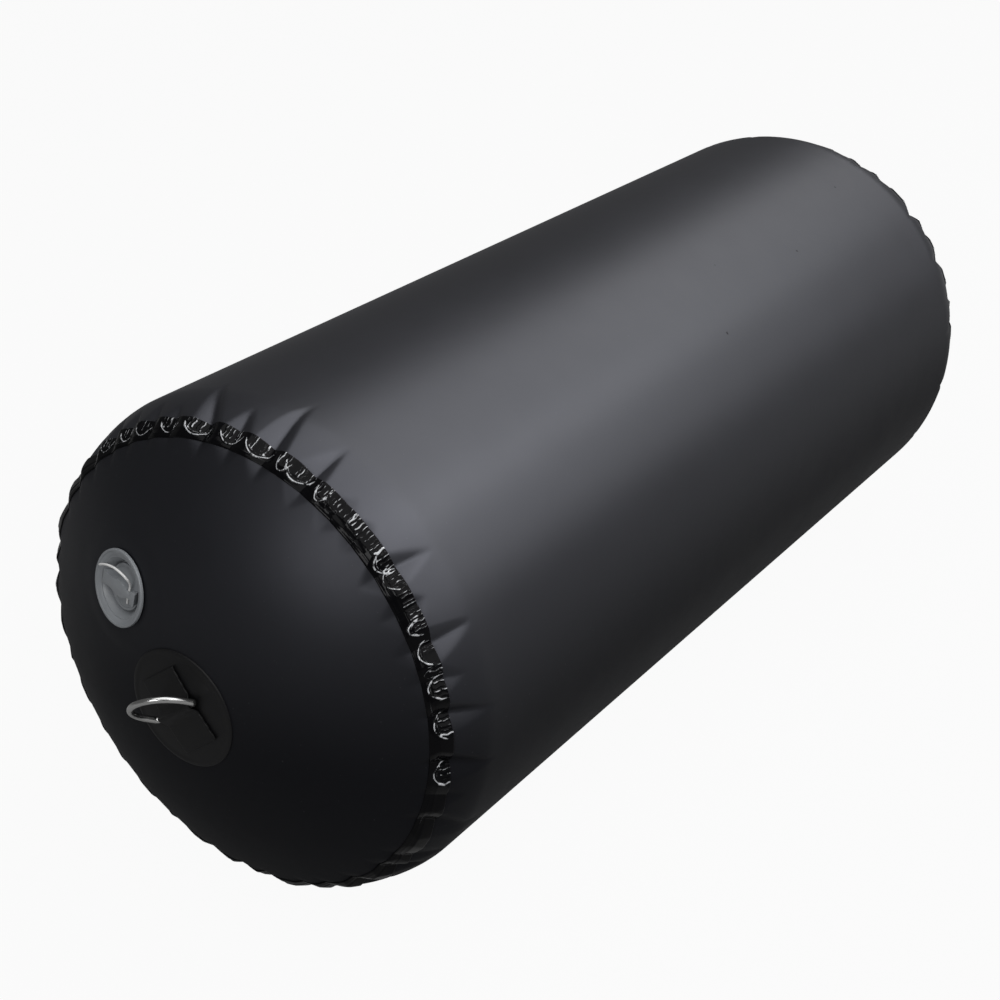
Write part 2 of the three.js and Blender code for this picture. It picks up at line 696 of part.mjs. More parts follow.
function fillValve() {
  const cap = new THREE.Group();
  cap.rotation.z = degrees(WING_TURN);
  cap.add(makeCap(), makeCapSeal(), makeCord());
  valve.add(
    makeValveBody(), makeWasher(), makeNut(), makeGuide(), makeStem(), makePoppet(), makeSpring(), cap,
  );
}

const frontEnd = endFrame(-1);
frontEnd.add(valve, ringFittings('front'));
fillValve();

const rearEnd = endFrame(1);
rearEnd.add(ringFittings('rear'));

// The valve's barrel passes through a round hole that is punched square to the dome
frontEnd.updateMatrixWorld(true);
const punch = upright(BARREL_RADIUS + GAP, -BARREL_DEPTH, BARREL_DEPTH, FINE);
const valveHole = toManifold(punch.applyMatrix4(valve.matrixWorld));

const fender = new THREE.Group();
fender.position.z = REST_LEVEL;
fender.add(
  makeSleeve(), makeSleeveStrip(),
  makeDisc('front_end_disc', -1, valveHole), makeDisc('rear_end_disc', 1),
  makeSeamTape('front_seam_tape', -1), makeSeamTape('rear_seam_tape', 1),
  frontEnd, rearEnd,
);

const root = new THREE.Group();
root.add(fender);

export default root;
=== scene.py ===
# %% [markdown]
# # A pneumatic fender
#
# This fender is a closed bag of black PVC-coated cloth that is blown up hard. A rolled sleeve makes the
# cylinder and a round disc closes each end. The sleeve is gathered onto the smaller discs, so it puckers all
# round both seams, and a glossy tape is welded over each seam. Each end carries a stainless ring in a strap,
# and the front end has a screw-cap valve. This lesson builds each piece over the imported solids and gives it
# its finish.

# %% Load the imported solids
import math

import bmesh
import bpy
import numpy as np
from mathutils import Matrix, Vector


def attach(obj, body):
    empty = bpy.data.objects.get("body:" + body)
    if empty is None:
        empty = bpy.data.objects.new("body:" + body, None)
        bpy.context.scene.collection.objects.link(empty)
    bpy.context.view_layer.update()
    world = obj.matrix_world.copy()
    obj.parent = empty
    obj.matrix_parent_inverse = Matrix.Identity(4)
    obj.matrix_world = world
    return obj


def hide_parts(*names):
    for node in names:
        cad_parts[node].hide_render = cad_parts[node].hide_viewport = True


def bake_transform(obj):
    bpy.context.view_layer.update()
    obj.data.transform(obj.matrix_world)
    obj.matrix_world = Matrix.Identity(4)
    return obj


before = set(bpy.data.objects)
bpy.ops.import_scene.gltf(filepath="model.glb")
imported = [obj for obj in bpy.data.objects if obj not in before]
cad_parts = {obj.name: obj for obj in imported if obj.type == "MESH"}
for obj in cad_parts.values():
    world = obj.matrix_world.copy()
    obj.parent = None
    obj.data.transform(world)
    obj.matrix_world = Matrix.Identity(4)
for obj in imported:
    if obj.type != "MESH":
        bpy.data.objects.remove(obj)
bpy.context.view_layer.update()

# %% [markdown]
# ## Units
#
# Blender works in metres here, but a maker reads sizes in millimetres. Almost every size below is written in
# millimetres and multiplied by MM where it becomes a length. Only the camera, the floor and the lamps are
# placed in metres.

# %% Units
MM = 0.001


def add_object(name, data):
    made = bpy.data.objects.new(name, data)
    bpy.context.collection.objects.link(made)
    return made


# %% [markdown]
# ## Camera
#
# The photograph looks down at the valve end from the side, through a longish lens. The camera's place was
# found by fitting the outline, the seam and the end fittings, so the render lines up with the photograph.

# %% Camera
camera_data = bpy.data.cameras.new("camera")
camera_data.lens = 63.5
camera_data.sensor_width = 36
camera = add_object("camera", camera_data)
camera.location = (-1.42229, -0.87994, 0.98809)
camera.rotation_mode = "QUATERNION"
camera.rotation_quaternion = Vector((0.74104, 0.50475, -0.44281)).to_track_quat("-Z", "Y")
bpy.context.scene.camera = camera
print("camera at", tuple(round(x, 3) for x in camera.location))

# %% [markdown]
# ## The outline of the inflated body
#
# Air pressure makes the sleeve a true cylinder, pulls it in over a short shoulder at each end, and blows the
# flat discs out into domes. Two power curves describe that. A reach is the distance from the seam in
# millimetres: positive along the sleeve, negative in over the disc.

# %% Outline
BODY_RADIUS = 225
SEAM_FROM_MIDDLE = 518
SHOULDER_LENGTH = 47
SHOULDER_DROP = 16.6
SHOULDER_POWER = 1.58
DOME_HEIGHT = 63.5
DOME_POWER = 2.35
SEAM_RADIUS = BODY_RADIUS - SHOULDER_DROP
AXIS_HEIGHT = 222
SHEET = 1.0
GAP = 0.3


def sleeve_radius(from_middle):
    share = np.clip((from_middle - SEAM_FROM_MIDDLE + SHOULDER_LENGTH) / SHOULDER_LENGTH, 0, None)
    return BODY_RADIUS - SHOULDER_DROP * share ** SHOULDER_POWER


def dome_height(radius):
    return SEAM_FROM_MIDDLE + DOME_HEIGHT * (1 - (np.abs(radius) / SEAM_RADIUS) ** DOME_POWER)


def outline(reach):
    """(radius, distance from the middle) of the outside of the sheet."""
    reach = np.asarray(reach, float)
    disc_radius = np.clip(SEAM_RADIUS + reach, 0, SEAM_RADIUS)
    along = SEAM_FROM_MIDDLE - reach
    radius = np.where(reach < 0, disc_radius, sleeve_radius(along))
    return radius, np.where(reach < 0, dome_height(disc_radius), along)


NORMAL_STEP = 5


def outwards(reach):
    """The unit vector (radial, along the axis) that points out of the sheet."""
    reach = np.asarray(reach, float)
    inner, outer = outline(reach - NORMAL_STEP), outline(reach + NORMAL_STEP)
    radial, along = inner[1] - outer[1], outer[0] - inner[0]
    length = np.hypot(radial, along)
    return radial / length, along / length


def raised(reach, height):
    radius, along = outline(reach)
    radial_part, along_part = outwards(reach)
    return np.maximum(radius + height * radial_part, 0), along + height * along_part


print("seam radius", SEAM_RADIUS, "mm, whole length", 2 * (SEAM_FROM_MIDDLE + DOME_HEIGHT), "mm")

# %% [markdown]
# ## The gathers
#
# Where a wide sleeve is welded onto a smaller disc, the spare cloth folds into valleys that start at the seam
# and taper to a point. Each valley has a sharp bottom, and one flank is steeper than the other because the
# fold leans over. The visible ones are placed as the photograph shows them. The rest follow three sines, so
# that no two neighbours are alike.

# %% Valleys
VALLEY_WIDTH = 5.8
NARROWEST_SHARE = 0.08
STEEP_SHARE = 0.68
LEAN_FROM = -45
VALLEY_ON_DISC = 30
SWEEP_POWER = 1.3
TAPER_POWER = 0.8
BOTTOM_POWER = 1.2
DISC_FADE_POWER = 1.6
BELLY = 0.9
HIDDEN_PITCH = 9.6

# Angle at the seam and at the tip, in degrees from the top towards +Y, then length and depth
SEEN_VALLEYS = [
    (-111.8, -120, 84, 5.5), (-103.5, -105, 34, 3.2), (-95, -98.6, 66, 7.5), (-83, -85.4, 68, 7.5),
    (-74.6, -75.6, 38, 5.0), (-67.2, -66.2, 58, 6.5), (-58.5, -58, 26, 2.6), (-49.4, -50.5, 54, 4.6),
    (-40.5, -40, 22, 2.4), (-33.6, -34, 26, 2.8), (-24.4, -24.7, 60, 6.2), (-13.3, -11.4, 76, 7.4),
    (-4.2, -3.0, 42, 5.2), (4.0, 10.6, 74, 7.6), (14.2, 15.4, 34, 4.4), (21.4, 22.4, 40, 4.6),
    (28.8, 29.8, 38, 4.8), (35.6, 37, 46, 5.0), (44, 45, 50, 5.4), (53, 54, 44, 5.0),
]


def hidden_valley(number, angle, end):
    """A valley where the photograph doesn't show it."""
    return (
        angle + 1.4 * math.sin(2.4 * number + end),
        angle + 3.0 * math.sin(1.9 * number - end),
        52 + 18 * math.sin(3.1 * number - end),
        5.2 + 1.5 * math.sin(1.7 * number + end),
    )


FRONT, REAR = -1, 1
hidden_front = np.arange(62.5, 242, HIDDEN_PITCH)
hidden_rear = np.arange(0, 360 - HIDDEN_PITCH / 2, HIDDEN_PITCH)
VALLEYS = {
    FRONT: SEEN_VALLEYS + [hidden_valley(n, a, FRONT) for n, a in enumerate(hidden_front)],
    REAR: [hidden_valley(n, a, REAR) for n, a in enumerate(hidden_rear)],
}


def valley_depth(end, angle, reach):
    """How far the gathers pull the sheet in, in millimetres, at these angles and reaches."""
    depth = np.zeros_like(reach)
    for at_seam, at_tip, length, deepest in VALLEYS[end]:
        share = np.clip(np.where(reach >= 0, reach / length, -reach / VALLEY_ON_DISC), 0, 1)
        line = at_seam + (at_tip - at_seam) * np.where(reach >= 0, share ** SWEEP_POWER, 0)
        away = (angle - line + 180) % 360 - 180
        steep = away < 0 if at_seam > LEAN_FROM else away > 0
        taper = NARROWEST_SHARE + (1 - NARROWEST_SHARE) * (1 - share) ** TAPER_POWER
        width = VALLEY_WIDTH * taper * np.where(steep, STEEP_SHARE, 1)
        across = np.clip(1 - np.abs(away) / width, 0, 1) ** BOTTOM_POWER
        on_sleeve = (1 - share) * (1 + BELLY * share)
        depth += deepest * across * np.where(reach >= 0, on_sleeve, (1 - share) ** DISC_FADE_POWER)
    return depth


print("valleys", {end: len(rows) for end, rows in VALLEYS.items()})

# %% [markdown]
# ## From bmesh to piece
#
# Each piece starts as a bmesh. Its points can then be moved all at once as a numpy array, which is how the
# cloth is pulled into its gathers. The last helper turns the normals outwards, shades the piece, puts it on
# its body and hides the plain solid that it stands for.


# %% Helpers for meshes
SECTORS = 18


def points_of(bm):
    return np.array([v.co for v in bm.verts], float).reshape(-1, 3)


def move_points(bm, points):
    for vert, point in zip(bm.verts, points):
        vert.co = point


def spun(profile, steps, closed=True, angle=2 * math.pi, around=(1, 0, 0), sectors=1):
    """Spin a profile of (radius, place on the axis) in millimetres about X or Z.

    A spin of many steps is slow, so a fine one is spun as a sector and the sector is copied round."""
    bm = bmesh.new()
    on_x = around[0] == 1
    verts = [
        bm.verts.new(Vector((along, 0, radius) if on_x else (radius, 0, along)) * MM)
        for radius, along in profile
    ]
    pairs = list(zip(verts, verts[1:])) + ([(verts[-1], verts[0])] if closed else [])
    edges = [bm.edges.new(pair) for pair in pairs]
    merge = angle == 2 * math.pi and sectors == 1
    sector = angle / sectors
    bmesh.ops.spin(
        bm, geom=verts + edges, cent=(0, 0, 0), axis=around, angle=sector,
        steps=steps // sectors, use_merge=merge,
    )
    if sectors > 1:
        whole = bm.verts[:] + bm.edges[:] + bm.faces[:]
        bmesh.ops.spin(
            bm, geom=whole, cent=(0, 0, 0), axis=around, angle=angle - sector,
            steps=sectors - 1, use_duplicate=True,
        )
    bmesh.ops.remove_doubles(bm, verts=bm.verts, dist=0.004 * MM)
    return bm


def object_from(bm, name):
    mesh = bpy.data.meshes.new(name)
    bm.to_mesh(mesh)
    bm.free()
    return add_object(name, mesh)


def transform(bm, matrix):
    bmesh.ops.transform(bm, matrix=matrix, verts=bm.verts)


def soften(bm, edges, radius):
    """Round off edges to a small radius in millimetres."""
    bmesh.ops.bevel(
        bm, geom=edges, offset=radius * MM, offset_type="OFFSET", segments=3, profile=0.5,
        affect="EDGES", material=-1, clamp_overlap=True,
    )


def shade(piece, sharp):
    """Shade a piece smooth, apart from edges that turn by more than an angle in degrees."""
    piece.data.shade_smooth()
    piece.data.set_sharp_from_angle(angle=math.radians(sharp))


def piece_from(bm, name, body, node, sharp=40):
    """Make a bmesh a named piece that rides on a body and stands for a solid."""
    bmesh.ops.recalc_face_normals(bm, faces=bm.faces)
    piece = object_from(bm, name)
    shade(piece, sharp)
    if body:
        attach(piece, body)
    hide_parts(node)
    print(name, len(piece.data.polygons), "faces")
    return piece


# %% [markdown]
# ## Pulling the cloth into its gathers
#
# One function moves the points of every layer, so sleeve, disc and tape keep the same folds and stay nested.
# It reads each point's angle and reach, and pushes the point inwards, square to the sheet. The body also
# rests on a small flat, where the floor pushes the underside up by 3 mm.


# %% Gather
GATHERED_REACH = 100
GATHERED_RADIUS = 120


def gather(points, extra=None):
    """Pull points that lie round the X axis into the gathers, and lift the body onto the floor."""
    x, y, z = points.T / MM
    end = np.where(x < 0, FRONT, REAR)
    radius = np.hypot(y, z)
    reach = SEAM_FROM_MIDDLE - np.abs(x) + radius - SEAM_RADIUS
    angle = np.degrees(np.arctan2(y, z))
    depth = np.zeros_like(x)
    for one in (FRONT, REAR):
        near = (end == one) & (reach < GATHERED_REACH) & (radius > GATHERED_RADIUS)
        depth[near] = valley_depth(one, angle[near], reach[near])
        if extra is not None:
            depth[near] -= extra(one, angle[near], reach[near])
    radial_part, along_part = outwards(np.clip(reach, -SEAM_RADIUS + NORMAL_STEP, SEAM_FROM_MIDDLE))
    scale = 1 - depth * radial_part / np.maximum(radius, 1)
    x = x - end * depth * along_part
    y, z = y * scale, z * scale
    buried = np.maximum(0, sleeve_radius(np.abs(x)) - radius)
    z = np.maximum(z, buried - AXIS_HEIGHT)
    return np.stack([x, y, z + AXIS_HEIGHT], 1) * MM


# %% [markdown]
# ## The sleeve
#
# The real sleeve is one sheet, rolled up and welded. Here a closed strip, with the outside of the sheet on
# one side and the inside on the other, is spun about the long axis. The rows lie close together near the
# seams, where the folds are, and far apart over the smooth middle.

# %% Sleeve
SLEEVE_STEPS = 720
SEAM_ROWS = [0.15, 3, 6, 8.5, 11, 14, 17, 20, 24, 28, 32, 36, 41, 46, 51, 57, 63, 70, 78, 87, 98]
MIDDLE_ROWS = [125, 165, 215, 275, 345, 430, 518]
INSIDE_ROWS = [0.15, 9, 20, 34, 48, 64, 84, 110, 200, 350, 518]
TAPE_ON_SLEEVE = 10.5
TAPE_ON_DISC = 6.5
TUCK = 0.35


def across_body(reaches, heights):
    """A line of points from the front seam to the rear seam."""
    radius, along = raised(np.array(reaches, float), np.array(heights, float))
    front = list(zip(radius, -along))
    return front + [(r, -a) for r, a in front[-2::-1]]


outside = SEAM_ROWS + MIDDLE_ROWS
tucked = [-TUCK if row < TAPE_ON_SLEEVE - 1 else 0 for row in outside]
outer_side = across_body(outside, tucked)
inner_side = across_body(INSIDE_ROWS, [-SHEET - TUCK] * len(INSIDE_ROWS))
bm = spun(outer_side + inner_side[::-1], SLEEVE_STEPS, sectors=SECTORS)
move_points(bm, gather(points_of(bm)))
sleeve = piece_from(bm, "gathered_sleeve", "fender", "sleeve", sharp=80)

# %% [markdown]
# ## Frames on the ends
#
# The fittings are easiest to build lying flat and then to lay on the end. An end's own frame has x to its
# side, y up and z straight out of the end. The valve has a second frame that stands square to the dome.


# %% End frames
def end_frame(end):
    turned = Matrix((Vector((0, end, 0)), Vector((0, 0, 1)), Vector((end, 0, 0)))).transposed().to_4x4()
    turned.translation = Vector((0, 0, AXIS_HEIGHT)) * MM
    return turned


VALVE_FROM_AXIS = 103
VALVE_ANGLE = 43.5
FACET_SAG = 0.35
WING_TURN = -9

valve_side = -VALVE_FROM_AXIS * math.sin(math.radians(VALVE_ANGLE))
valve_up = VALVE_FROM_AXIS * math.cos(math.radians(VALVE_ANGLE))
dome_slope = float(dome_height(VALVE_FROM_AXIS - 1) - dome_height(VALVE_FROM_AXIS + 1)) / 2
valve_normal = Vector((
    dome_slope * valve_side / VALVE_FROM_AXIS, dome_slope * valve_up / VALVE_FROM_AXIS, 1
)).normalized()
valve_foot = Vector((valve_side, valve_up, float(dome_height(VALVE_FROM_AXIS)) - FACET_SAG)) * MM
stand_square = Vector((0, 0, 1)).rotation_difference(valve_normal).to_matrix().to_4x4()
valve_frame = end_frame(FRONT) @ Matrix.Translation(valve_foot) @ stand_square
cap_frame = valve_frame @ Matrix.Rotation(math.radians(WING_TURN), 4, "Z")
print("valve at", tuple(round(x, 4) for x in valve_frame.translation))

# %% [markdown]
# ## The cap's cord
#
# A white braided cord keeps the cap from getting lost. It leaves the flange, arches over the wing, drops
# through a hole in the wing's neck and ends in a short tail. A bevelled curve gives an even round cord, and
# it is turned into a mesh. The real cord bends between the body and the cap when the cap is turned.

# %% Cap cord
CORD_DIAMETER = 2
CORD_POINTS = 90
CORD_ROUTE = [
    (-27, 8, 1.6), (-26.3, 8.5, 3.6), (-23, 10.5, 5.6), (-17, 14, 6.8), (-8, 17.5, 7.6), (1, 19, 7.6),
    (8, 17.8, 6.4), (11.6, 14.6, 3.8), (11.6, 10.8, 0.6), (10.7, 6.6, -1.2), (10.5, 0, -1.2),
    (10.4, -6, -1.4), (9.8, -9.5, -2.2),
]


def smooth_route(route, count):
    """Points on the rounded line through a route, evenly shared out (a Catmull-Rom curve)."""
    knots = [Vector(p) for p in route]
    knots = [2 * knots[0] - knots[1], *knots, 2 * knots[-1] - knots[-2]]
    line = []
    for a, b, c, d in zip(knots, knots[1:], knots[2:], knots[3:]):
        at_b = (b - a).length ** 0.5
        at_c = at_b + (c - b).length ** 0.5
        at_d = at_c + (d - c).length ** 0.5
        for t in np.linspace(at_b, at_c, 12, endpoint=False):
            ab = a.lerp(b, t / at_b)
            bc = b.lerp(c, (t - at_b) / (at_c - at_b))
            cd = c.lerp(d, (t - at_c) / (at_d - at_c))
            abc = ab.lerp(bc, t / at_c)
            bcd = bc.lerp(cd, (t - at_b) / (at_d - at_b))
            line.append(abc.lerp(bcd, (t - at_b) / (at_c - at_b)))
    line.append(knots[-2])
    gone = np.concatenate([[0], np.cumsum([(q - p).length for p, q in zip(line, line[1:])])])
    places = np.linspace(0, gone[-1], count)
    return [Vector([np.interp(s, gone, [p[i] for p in line]) for i in range(3)]) for s in places], gone[-1]


cord_line, cord_length = smooth_route(CORD_ROUTE, CORD_POINTS)
cord_points = [cap_frame @ (p * MM) for p in cord_line]
curve = bpy.data.curves.new("cord_line", "CURVE")
curve.dimensions = "3D"
curve.bevel_depth = CORD_DIAMETER / 2 * MM
curve.bevel_resolution = 4
curve.use_fill_caps = True
spline = curve.splines.new("POLY")
spline.points.add(len(cord_points) - 1)
for point, co in zip(spline.points, cord_points):
    point.co = (*co, 1)
line_object = add_object("cord_line", curve)
depsgraph = bpy.context.evaluated_depsgraph_get()
cord_mesh = bpy.data.meshes.new_from_object(line_object.evaluated_get(depsgraph))
bpy.data.objects.remove(line_object)
cord_mesh.name = "braided_cap_cord"
cap_cord = add_object("braided_cap_cord", cord_mesh)
cord_mesh.shade_smooth()
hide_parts("cap_cord")
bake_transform(cap_cord)
print("cord", round(cord_length, 1), "mm")

# %% [markdown]
# ## The end discs
#
# A disc is a closed shell too: outside rows, a rim, inside rows, and a pole at each side that merging closes.
# Round the valve the sheet is pulled flat against the flange, so points near the valve move onto its plane.

# %% End discs
DISC_STEPS = 720
RIM_ROWS = [-0.15, -2, -4, -6, -8, -10, -12.5, -15, -18, -21, -25, -29, -34, -40, -47, -55]
FACE_ROWS = [-64, -73, -82, -91, -100, -109, -118, -127, -136, -146, -157, -169, -182, -195, -204]
DISC_INSIDE = [-0.15, -6, -13, -21, -30, -42, -60, -85, -115, -150, -185]
FLANGE_RADIUS = 32.5
FLAT_REACH = 22
HOLE_RADIUS = 25.8


def lay_against_valve(points):
    """Flatten the disc under the valve's flange."""
    own = np.array([valve_frame.inverted() @ Vector(p) for p in points]) / MM
    share = np.clip((np.hypot(own[:, 0], own[:, 1]) - FLANGE_RADIUS) / FLAT_REACH, 0, 1)
    keep = share * share * (3 - 2 * share)
    inner = own[:, 2] < -SHEET / 2
    own[:, 2] = np.where(inner, -SHEET, 0) * (1 - keep) + own[:, 2] * keep
    return np.array([valve_frame @ Vector(p * MM) for p in own])


def make_disc(end, name, node):
    outside = np.array(RIM_ROWS + FACE_ROWS, float)
    outer = raised(outside, np.where(outside > 0.5 - TAPE_ON_DISC, -TUCK, 0))
    inner = raised(np.array(DISC_INSIDE, float), -SHEET - TUCK)
    apex = DOME_HEIGHT + SEAM_FROM_MIDDLE
    rows = [(0, apex - SHEET)] + list(zip(*inner))[::-1] + list(zip(*outer)) + [(0, apex)]
    rows = [(radius, end * along) for radius, along in rows]
    bm = spun(rows, DISC_STEPS, closed=False, sectors=SECTORS)
    points = gather(points_of(bm))
    if end == FRONT:
        near = (points - np.array(valve_frame.translation)) / MM
        near = np.linalg.norm(near, axis=1) < FLANGE_RADIUS + FLAT_REACH
        points[near] = lay_against_valve(points[near])
    move_points(bm, points)
    return piece_from(bm, name, "fender", node, sharp=80)


front_disc = make_disc(FRONT, "domed_front_disc", "front_end_disc")
rear_disc = make_disc(REAR, "domed_rear_disc", "rear_end_disc")

# %% [markdown]
# ## Cutting with another solid
#
# A hole is cleanest when a second solid cuts it. The cutter is deleted afterwards and the result is kept as a
# plain mesh, so no modifier has to follow the piece around.


# %% Carve
def carve(piece, cutter, operation="DIFFERENCE"):
    step = piece.modifiers.new("carve", "BOOLEAN")
    step.operation = operation
    step.solver = "MANIFOLD"
    step.object = cutter
    bpy.context.view_layer.update()
    depsgraph = bpy.context.evaluated_depsgraph_get()
    carved = bpy.data.meshes.new_from_object(piece.evaluated_get(depsgraph))
    piece.modifiers.clear()
    piece.data = carved
    bpy.data.objects.remove(cutter)


def cylinder(radius, low, high, place, segments=96):
    bm = bmesh.new()
    bmesh.ops.create_cone(
        bm, cap_ends=True, segments=segments, radius1=radius * MM, radius2=radius * MM,
        depth=(high - low) * MM, matrix=place @ Matrix.Translation((0, 0, (low + high) / 2 * MM)),
    )
    return object_from(bm, "cutter")


carve(front_disc, cylinder(HOLE_RADIUS, -9, 9, valve_frame))
print("front disc with its valve hole:", len(front_disc.data.polygons), "faces")

# %% [markdown]
# ## The seam tapes
#
# A 17 mm band of glossy tape is welded over each seam. It follows the gathers below it, and being thin and
# hot when it went on, it also has fine wrinkles of its own: a curved lip on the disc side of each pucker, and
# rows of tiny pleats on the sleeve side. Each is a low ridge that is added to the height of the tape, and its
# height is kept on the points too, so that the finish can paint pale glints along the crests.

# %% Wrinkles in the tape
# The middle of each lip in degrees, its half width in millimetres, and how strongly it stands out
LIPS = [
    (-97.8, 9, 1.0), (-85.4, 10, 1.1), (-76.6, 8, 1.1), (-73.2, 5, 0.6), (-68.6, 9, 1.1), (-62.8, 6, 1.2),
    (-51.5, 9, 0.8), (-47.9, 8, 1.3), (-32, 7, 0.5), (-28.6, 6, 1.1), (-21.6, 12, 1.2), (-17.8, 6, 0.8),
    (-10.6, 12, 1.2), (-3, 10, 1.0), (6.7, 12, 1.2), (15, 9, 0.9), (23.7, 8, 0.8), (30, 7, 0.8), (38, 7, 0.8),
]
# The middle of each row of pleats in degrees, then its half width and its pitch in millimetres
PLEATS = [
    (-98, 9, 3.6), (-85.6, 8, 3.3), (-77.3, 7, 3.4), (-72.5, 6, 3.1), (-67.4, 4, 3.4), (-62.4, 6, 3.2),
    (-57.8, 11, 3.4), (-51.6, 7, 3.1), (-47.8, 9, 2.9), (-41, 15, 3.9), (-36.4, 5, 2.9), (-32, 8, 3.4),
    (-28.2, 6, 3.1), (-23.2, 7, 3.5), (-17.8, 6, 3.5), (-10.4, 9, 3.3), (-3, 9, 3.5), (6.8, 10, 3.7),
    (15.4, 7, 3.5), (23.7, 6, 3.3), (30, 6, 3.2), (38, 6, 3.4),
]
MM_PER_DEGREE = math.pi * SEAM_RADIUS / 180
RIDGE = 0.6
RIDGE_WIDTH = 0.62
LIP_BOTTOM = -5.0
LIP_RISE = 11.5
LIP_POWER = 2.2
SECOND_LIP = 3.2
SECOND_SHARE = 0.55
PLEAT_SHARE = 0.85
PLEAT_POWER = 4
EDGE_SHARE = 0.6
# The far seam's lips and pleats sit just beside its valleys
BESIDE_VALLEY = 2.3
FAR_LIPS = [(angle + BESIDE_VALLEY, 7, 1.0) for angle, *_ in VALLEYS[REAR]]
FAR_PLEATS = [(angle + BESIDE_VALLEY, 8, 3.7) for angle, *_ in VALLEYS[REAR]]


def ridge(distance):
    return RIDGE * np.exp(-((distance / RIDGE_WIDTH) ** 2))


def mm_from(middle, angle):
    """How far round the seam angles lie from a middle, in millimetres."""
    return ((angle - middle + 180) % 360 - 180) * MM_PER_DEGREE


def tape_wrinkles(end, angle, reach):
    """Height of the fine wrinkles over the tape, in millimetres."""
    height = np.zeros_like(reach)
    for middle, half, strength in LIPS if end == FRONT else FAR_LIPS:
        side = np.abs(mm_from(middle, angle)) / half
        line = LIP_BOTTOM + LIP_RISE * side ** LIP_POWER
        slope = np.hypot(1, LIP_RISE * LIP_POWER / half * side ** (LIP_POWER - 1))
        window = np.clip(1.2 - side, 0, 0.2) * 5
        second = (reach - line - SECOND_LIP - 0.8 * math.sin(middle)) / slope
        height += strength * ridge((reach - line) / slope) * window
        height += SECOND_SHARE * strength * ridge(second) * window * (reach < 3)
    for middle, half, pitch in PLEATS if end == FRONT else FAR_PLEATS:
        across = mm_from(middle, angle)
        wander = across + 0.3 * np.sin(reach * 0.6 + middle) + 0.6 * np.sin(across * 0.8 + middle)
        tooth = (0.5 + 0.5 * np.cos(2 * math.pi * wander / pitch)) ** PLEAT_POWER
        tooth *= 0.8 + 0.2 * np.sin(across * 0.7 + 2.5 * middle) + 0.15 * np.sin(across * 1.9)
        window = np.clip(1.3 - np.abs(across) / half, 0, 0.3) / 0.3
        start = 1.5 + 1.5 * np.sin(across * 0.5 + middle)
        height += PLEAT_SHARE * RIDGE * tooth * window * np.clip((reach - start) / 1.2, 0, 1)
    edge = 0.55 + 0.45 * np.sin(0.31 * angle + 1.6) * np.sin(0.13 * angle)
    return height + EDGE_SHARE * ridge(reach + TAPE_ON_DISC - 0.8) * edge


print(len(LIPS), "lips and", len(PLEATS), "rows of pleats on the front tape")


# %% Seam tapes
TAPE_STEPS = 2160
TAPE_THICKNESS = 0.8
ROW_STEP = 0.6
MIDDLE_OF_TAPE = np.arange(TAPE_ON_SLEEVE - 0.5, -TAPE_ON_DISC + 0.1, -ROW_STEP)
TAPE_ROWS = np.concatenate([[TAPE_ON_SLEEVE], MIDDLE_OF_TAPE, [-TAPE_ON_DISC]])
TAPE_UNDER = np.linspace(-TAPE_ON_DISC, TAPE_ON_SLEEVE, 6)
TAPE_BEVEL = 0.8
RIM_SHARE = 0.35
SEAM_STEP = 0.35
WELD_LINE = 0.05


def make_tape(end, name, node):
    edge = np.minimum(TAPE_ON_SLEEVE - TAPE_ROWS, TAPE_ROWS + TAPE_ON_DISC)
    heights = GAP + TAPE_THICKNESS * np.clip(RIM_SHARE + edge / TAPE_BEVEL, 0, 1)
    heights += SEAM_STEP * np.clip(TAPE_ROWS / TAPE_BEVEL, -0.5, 0.5)
    over = list(zip(*raised(TAPE_ROWS, heights)))
    under = list(zip(*raised(TAPE_UNDER, WELD_LINE)))
    rows = [(radius, end * along) for radius, along in over + under]
    bm = spun(rows, TAPE_STEPS, sectors=SECTORS)
    x, y, z = points_of(bm).T / MM
    reach = SEAM_FROM_MIDDLE - np.abs(x) + np.hypot(y, z) - SEAM_RADIUS
    crests = tape_wrinkles(end, np.degrees(np.arctan2(y, z)), reach) / RIDGE
    move_points(bm, gather(points_of(bm), tape_wrinkles))
    tape = piece_from(bm, name, "fender", node, sharp=80)
    layer = tape.data.attributes.new("crest", "FLOAT", "POINT")
    layer.data.foreach_set("value", crests.astype(np.float32))
    return tape


front_tape = make_tape(FRONT, "front_gathered_tape", "front_seam_tape")
rear_tape = make_tape(REAR, "rear_gathered_tape", "rear_seam_tape")

# %% [markdown]
# ## The sleeve's long joint
#
# A rolled sheet has to be joined along its length. The joint is on the side away from view, under a welded
# strip, which is a narrow sector of a thin layer over the sleeve.

# %% Joint strip
STRIP_ANGLE = 121.5
STRIP_HALF_ANGLE = 4.5
STRIP_THICKNESS = 0.8
STRIP_ROWS = [10.8, 14, 18, 23, 29, 36, 44, 53, 63, 75, 90, 130, 200, 300, 400, 518]

strip_over = across_body(STRIP_ROWS, [GAP + STRIP_THICKNESS] * len(STRIP_ROWS))
strip_under = across_body(STRIP_ROWS, [WELD_LINE] * len(STRIP_ROWS))[::-1]
bm = spun(strip_over + strip_under, 12, angle=math.radians(2 * STRIP_HALF_ANGLE))
bmesh.ops.holes_fill(bm, edges=[e for e in bm.edges if e.is_boundary], sides=0)
first_side = -math.radians(STRIP_HALF_ANGLE + STRIP_ANGLE)
bmesh.ops.rotate(bm, verts=bm.verts, cent=(0, 0, 0), matrix=Matrix.Rotation(first_side, 3, "X"))
middle_angle = np.degrees(np.arctan2(*points_of(bm)[:, 1:].mean(0)))
print("strip is at", round(float(middle_angle), 1), "degrees")
move_points(bm, gather(points_of(bm)))
strip = piece_from(bm, "long_joint_strip", "fender", "sleeve_joint_strip")

